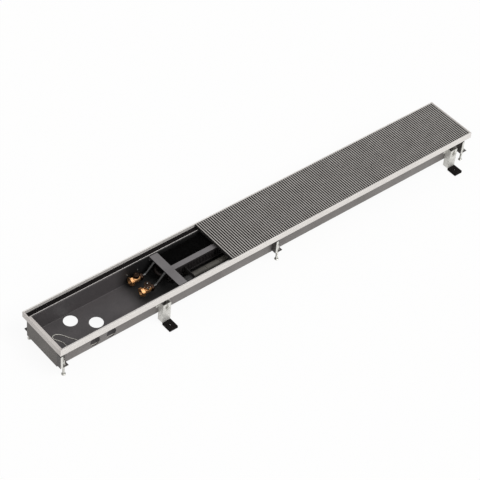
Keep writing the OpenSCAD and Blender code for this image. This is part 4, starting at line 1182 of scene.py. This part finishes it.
@dataclass
class LevellingFeet:
    """The folded brackets on the outside, with their nuts and threaded screws."""

    xs: tuple[float, float, float] = (-1101.0, 0.0, 1101.0)
    y: float = 116.25
    seat_z: float = 57.0
    nut_af: float = 16.0
    nut_h: float = 8.0
    radius: float = 5.0
    length: float = 84.0
    foot_r: float = 9.0
    foot_t: float = 5.0
    pitch: float = 1.75
    depth: float = 0.75
    socket_af: float = 5.0
    socket_l: float = 6.0
    lip_y: float = 127.2
    edge: float = 0.5

    def build(self) -> None:
        """Makes the brackets, dark grey with painted shade except their bright lips, the nuts and the screws.
        """
        brackets = softened("levelling_brackets", "levelling_bracket_sheets", BRACKET_PAINTED_SHADE,
                            self.edge)
        # Only the lips keep the galvanised colour; the rest of each bracket is painted shade.
        two_tone(brackets, GALVANISED, lambda centre, normal: abs(centre.y) > self.lip_y)
        nuts = Form()
        for side in (-1, 1):
            for x in self.xs:
                nuts.hex_nut((x, side * self.y, self.seat_z), Z_AXIS, self.nut_af, self.nut_h,
                             self.radius + 0.05)
        nuts.piece("levelling_nut_set", ZINC, ["levelling_nuts"])
        for side, row in ((-1, "f"), (1, "r")):
            for x, column in zip(self.xs, "lmr"):
                self._screw(x, side * self.y, row + column)

    def _screw(self, x: float, y: float, name: str) -> None:
        """Makes a levelling screw: a round foot, a real thread and a chamfered top with a hexagonal socket.

        Args:
            x: Its place along the trough.
            y: Its place across it.
            name: Its corner.
        """
        form = Form()
        r, t = self.foot_r, self.foot_t
        form.lathe([(0, 0), (0, r - 0.8), (0.8, r), (t - 1.2, r), (t, r - 1.2), (t + 0.8, self.radius - 0.3),
                    (t + 3, self.radius - 0.3), (t + 3, 0)], (x, y, 0), Z_AXIS)
        low, top = t + 1.5, self.length - 3
        form.thread((x, y, low), self.radius, self.depth, self.pitch, top - low)
        end, well = self.length, self.length - self.socket_l
        form.lathe([(top - 4, 0), (top - 4, 4.3), (end - 1, 4.4), (end, 3.6), (end, 3.2), (end - 0.3, 3.0, 1),
                    (well, 3.0, 1), (well, 0)], (x, y, 0), Z_AXIS, 48, hexagon(self.socket_af))
        form.piece(f"threaded_foot_{name}", ZINC, [f"levelling_screw_{name}"])


@dataclass
class Anchors:
    """The anchor brackets on the outside, their feet, bolts and rubber pads, and the screws in the walls."""

    xs: tuple[float, float] = (-604.0, 1023.0)
    face: float = 134.0
    bolt_z: float = 90.0
    bolt_af: float = 13.0
    bolt_h: float = 5.5
    bolt_r: float = 3.9
    sheet_t: float = 2.0
    toe_t: float = 2.5
    washer_r: float = 8.0
    washer_t: float = 1.5
    screw_dx: float = 27.0
    screw_z: float = 96.0
    screw_l: float = 6.0
    wall_y: float = 102.5
    edge: float = 0.5
    pad_edge: float = 1.6
    level_xs: tuple[float, float, float] = (-1101.0, 0.0, 1101.0)
    level_dx: float = 8.0
    level_zs: tuple[float, float] = (73.32, 103.24)

    def build(self) -> None:
        """Makes the brackets, the feet, the pads, the bolts and the screws."""
        softened("anchor_brackets", "anchor_bracket_sheets", GALVANISED, self.edge)
        softened("anchor_feet", "anchor_angles", GALVANISED, self.edge)
        softened("anchor_pads", "rubber_pads", RUBBER, self.pad_edge, 3)
        bolts = Form()
        for side in (-1, 1):
            out = Vector((0, side, 0))
            for x in self.xs:
                self._bolt(bolts, x, side, out)
        bolts.piece("anchor_bolt_set", ZINC, ["anchor_bolts"])
        screws = Form()
        for side in (-1, 1):
            out = Vector((0, side, 0))
            reach = side * (self.wall_y + self.sheet_t)
            for x in self.level_xs:
                for z in self.level_zs:
                    screw(screws, (x - side * self.level_dx, reach, z), out, Head.PAN, self.screw_l)
            for x in self.xs:
                for s in (-1, 1):
                    screw(screws, (x + s * self.screw_dx, reach, self.screw_z), out, Head.PAN, self.screw_l)
        screws.piece("wall_screw_set", ZINC, ["wall_screws"])

    def _bolt(self, form: Form, x: float, side: int, out: Vector) -> None:
        """Adds a bolt with its washer outside and its nut inside.

        Args:
            form: The form that takes it.
            x: Its place along the trough.
            side: -1 at the front, 1 at the rear.
            out: The way its head faces.
        """
        start = Vector((x, side * self.face, self.bolt_z))
        form.rod(start, out, self.washer_t, self.washer_r, 0.3, 48)
        form.hex_nut(start + out * self.washer_t, out, self.bolt_af, self.bolt_h, 0)
        inner = start - out * (self.sheet_t + self.toe_t)
        form.hex_nut(inner, -out, self.bolt_af, self.bolt_h, self.bolt_r)
        form.rod(start, -out, self.sheet_t + self.toe_t + 2 * self.bolt_h, self.bolt_r, 0.6)


@dataclass
class TerminalBox:
    """The box for the leads' ends, its screwed lid and the grommet where the lead goes in."""

    low: Point = (-1065.0, -99.5, 46.2)
    high: Point = (-995.0, -70.5, 70.2)
    inset: float = 5.0
    edge: float = 0.7
    lid_edge: float = 0.8

    def build(self) -> None:
        """Makes the box and the lid with its screws."""
        softened("terminal_box", "terminal_box_shell", BOX_PLASTIC, self.edge)
        form = Form()
        form.copy_of("terminal_lid", self.lid_edge)
        for x in (self.low[0] + self.inset, self.high[0] - self.inset):
            for y in (self.low[1] + self.inset, self.high[1] - self.inset):
                screw(form, (x, y, self.high[2] - 0.2), Z_AXIS, Head.LID, 1.0, 1.0)
        form.piece("terminal_box_cover", LID_PLASTIC, ["terminal_lid"])


@dataclass
class Lead:
    """The fan's thin lead, which the trough holds from the motor to the terminal box."""

    corner: Point = (-1125.0, -101.3, 46.2)
    radius: float = 1.2
    steps: int = 4
    long_run: float = 96.0
    grommet_l: float = 5.0
    grommet_lip: float = 1.8
    route: list[Point] = field(default_factory=lambda: [
        (0.6565, 0.020, 0.040), (0.641, 0.020, 0.038), (0.628, 0.017, 0.030), (0.615, 0.013, 0.020),
        (0.601, 0.010, 0.011), (0.585, 0.009, 0.004), (0.565, 0.009, 0.0015), (0.195, 0.009, 0.0015),
        (0.177, 0.010, 0.0015), (0.163, 0.017, 0.0015), (0.155, 0.031, 0.0015), (0.152, 0.047, 0.0015),
        (0.148, 0.062, 0.0015), (0.140, 0.079, 0.0015), (0.128, 0.095, 0.0015), (0.118, 0.114, 0.0015),
        (0.107, 0.130, 0.0015), (0.092, 0.139, 0.0015), (0.079, 0.137, 0.0015), (0.074, 0.127, 0.0015),
        (0.079, 0.115, 0.0015), (0.088, 0.101, 0.0015), (0.094, 0.086, 0.0015), (0.095, 0.071, 0.002),
        (0.095, 0.057, 0.004), (0.095, 0.044, 0.007), (0.095, 0.0311, 0.008)])

    def build(self) -> None:
        """Makes the lead with a grommet at each end."""
        path = self.path()
        form = Form()
        form.sweep(path, self.radius, 16)
        form.piece("grey_lead", SHEATH, ["fan_lead"])
        ends = Form()
        for place, axis in ((path[0], X_AXIS), (path[-1], -Y_AXIS)):
            bore, tail, rim = self.radius + 0.05, -self.grommet_l, self.radius + self.grommet_lip
            ends.lathe([(tail, bore), (tail, rim - 1.1), (-0.4, rim - 0.2), (0.2, rim), (0.2, bore),
                        (tail, bore)], place, axis, 24)
        ends.piece("lead_grommets", RUBBER, body="trench")
        length = sum((b - a).length for a, b in zip(path, path[1:]))
        log.info("lead length %.0f mm", length)

    def path(self) -> list[Vector]:
        """Draws a smooth line through the route's points.

        Returns:
            Its points in millimetres, in the heater's frame.
        """
        points = [Vector(self.corner) + Vector(p) / MM for p in self.route]
        last = len(points) - 1
        out = []
        for i in range(last):
            b, c = points[i], points[i + 1]
            if (c - b).length > self.long_run:
                out.append(b)
                continue
            straight_in = i > 0 and (b - points[i - 1]).length > self.long_run
            straight_out = i + 1 < last and (points[i + 2] - c).length > self.long_run
            a = b if straight_in or i == 0 else points[i - 1]
            d = c if straight_out or i + 1 == last else points[i + 2]
            for j in range(self.steps):
                t = j / self.steps
                out.append(0.5 * (2 * b + (c - a) * t + (2 * a - 5 * b + 4 * c - d) * t ** 2
                                  + (3 * b - a - 3 * c + d) * t ** 3))
        return out + [points[-1]]


@dataclass
class Studio:
    """The camera at the photograph's angle, the soft light and the pale floor."""

    azimuth: float = -43.595
    elevation: float = 44.522
    roll: float = 5.935
    distance: float = 7.1976
    target: Point = (-0.16612, -0.05668, 0.160)
    lens: float = 130.056
    sensor: float = 36.0
    ambient: float = 0.52
    key: float = 1.75
    key_turn: Point = (38.0, 0.0, 22.0)
    key_spread: float = 35.0
    floor_size: float = 60.0
    floor_glow: float = 0.93
    floor_colour: str = "F4F3F1"
    sight: float = 100.0
    eye_rays: tuple[str, ...] = ("Is Camera Ray", "Is Glossy Ray", "Is Transmission Ray")

    def build(self) -> None:
        """Sets the camera, the world, the lamp and the floor."""
        self._camera()
        self._world()
        self._key_light()
        self._floor()
        bpy.context.scene.view_settings.view_transform = "Standard"

    def _camera(self) -> None:
        """Places the camera."""
        az, el, roll = (math.radians(a) for a in (self.azimuth, self.elevation, self.roll))
        back = Vector((math.sin(az) * math.cos(el), -math.cos(az) * math.cos(el), math.sin(el)))
        level = Vector((math.cos(az), math.sin(az), 0))
        rise = back.cross(level)
        right = math.cos(roll) * level + math.sin(roll) * rise
        up = math.cos(roll) * rise - math.sin(roll) * level
        data = bpy.data.cameras.new("camera")
        data.lens = self.lens
        data.sensor_width = self.sensor
        data.clip_end = self.sight
        camera = bpy.data.objects.new("camera", data)
        turn = Matrix((right, up, back)).transposed().to_4x4()
        camera.matrix_world = Matrix.Translation(Vector(self.target) + back * self.distance) @ turn
        bpy.context.scene.collection.objects.link(camera)
        bpy.context.scene.camera = camera

    @staticmethod
    def _seen(tree: bpy.types.NodeTree, names: Sequence[str]) -> bpy.types.NodeSocket:
        """Tells the named kinds of ray from the rest.

        Args:
            tree: The nodes of a material or of the world.
            names: The kinds of ray, as Light Path calls them.

        Returns:
            A socket that holds 1 for them and 0 for the rest.
        """
        rays = add_node(tree, "ShaderNodeLightPath")
        found = rays.outputs[names[0]]
        for name in names[1:]:
            pair = {0: found, 1: rays.outputs[name]}
            found = add_node(tree, "ShaderNodeMath", pair, operation="MAXIMUM").outputs[0]
        return found

    def _world(self) -> None:
        """Makes the surroundings white to the eye, to gloss and through glass, and softer as a light."""
        world = bpy.data.worlds.new("white_room")
        world.use_nodes = True
        tree = world.node_tree
        tree.nodes.clear()
        seen = self._seen(tree, self.eye_rays)
        strength = add_node(
            tree, "ShaderNodeMapRange",
            {"Value": seen, "To Min": self.ambient, "To Max": 1.0},
        ).outputs["Result"]
        values = {"Color": (1, 1, 1, 1), "Strength": strength}
        glow = add_node(tree, "ShaderNodeBackground", values).outputs[0]
        add_node(tree, "ShaderNodeOutputWorld", {"Surface": glow})
        bpy.context.scene.world = world

    def _key_light(self) -> None:
        """Hangs one broad lamp high over the front."""
        data = bpy.data.lights.new("key", "SUN")
        data.energy = self.key
        data.angle = math.radians(self.key_spread)
        lamp = bpy.data.objects.new("key", data)
        lamp.rotation_euler = [math.radians(a) for a in self.key_turn]
        bpy.context.scene.collection.objects.link(lamp)

    def _floor(self) -> None:
        """Lays a pale floor that looks white and keeps the heater's shadow."""
        bm = bmesh.new()
        bmesh.ops.create_grid(bm, x_segments=1, y_segments=1, size=self.floor_size / 2)
        mesh = bpy.data.meshes.new("floor")
        bm.to_mesh(mesh)
        bm.free()
        floor = bpy.data.objects.new("floor", mesh)
        bpy.context.scene.collection.objects.link(floor)
        paint = bpy.data.materials.new("pale_floor")
        paint.use_nodes = True
        tree = paint.node_tree
        tree.nodes.clear()
        seen = self._seen(tree, self.eye_rays)
        pair = {0: seen, 1: self.floor_glow}
        share = add_node(tree, "ShaderNodeMath", pair, operation="MULTIPLY").outputs[0]
        matt = add_node(tree, "ShaderNodeBsdfDiffuse", {"Color": linear(self.floor_colour)}).outputs[0]
        glow = add_node(tree, "ShaderNodeEmission", {"Color": (1, 1, 1, 1), "Strength": 1.0}).outputs[0]
        mixed = add_node(tree, "ShaderNodeMixShader", {0: share, 1: matt, 2: glow}).outputs[0]
        add_node(tree, "ShaderNodeOutputMaterial", {"Surface": mixed})
        mesh.materials.append(paint)


def main() -> None:
    """Builds the studio and every sub-assembly in order."""
    logging.basicConfig(level=logging.INFO, format="%(name)s: %(message)s")
    Studio().build()
    parts = (Trough(), EdgeFrame(), Grille(), Bridges(), Exchanger(), Pipes(), Valves(), Fan(),
             LevellingFeet(), Anchors(), TerminalBox(), Lead())
    for part in parts:
        log.info("building %s", type(part).__name__)
        part.build()


if __name__ == "__main__":
    main()
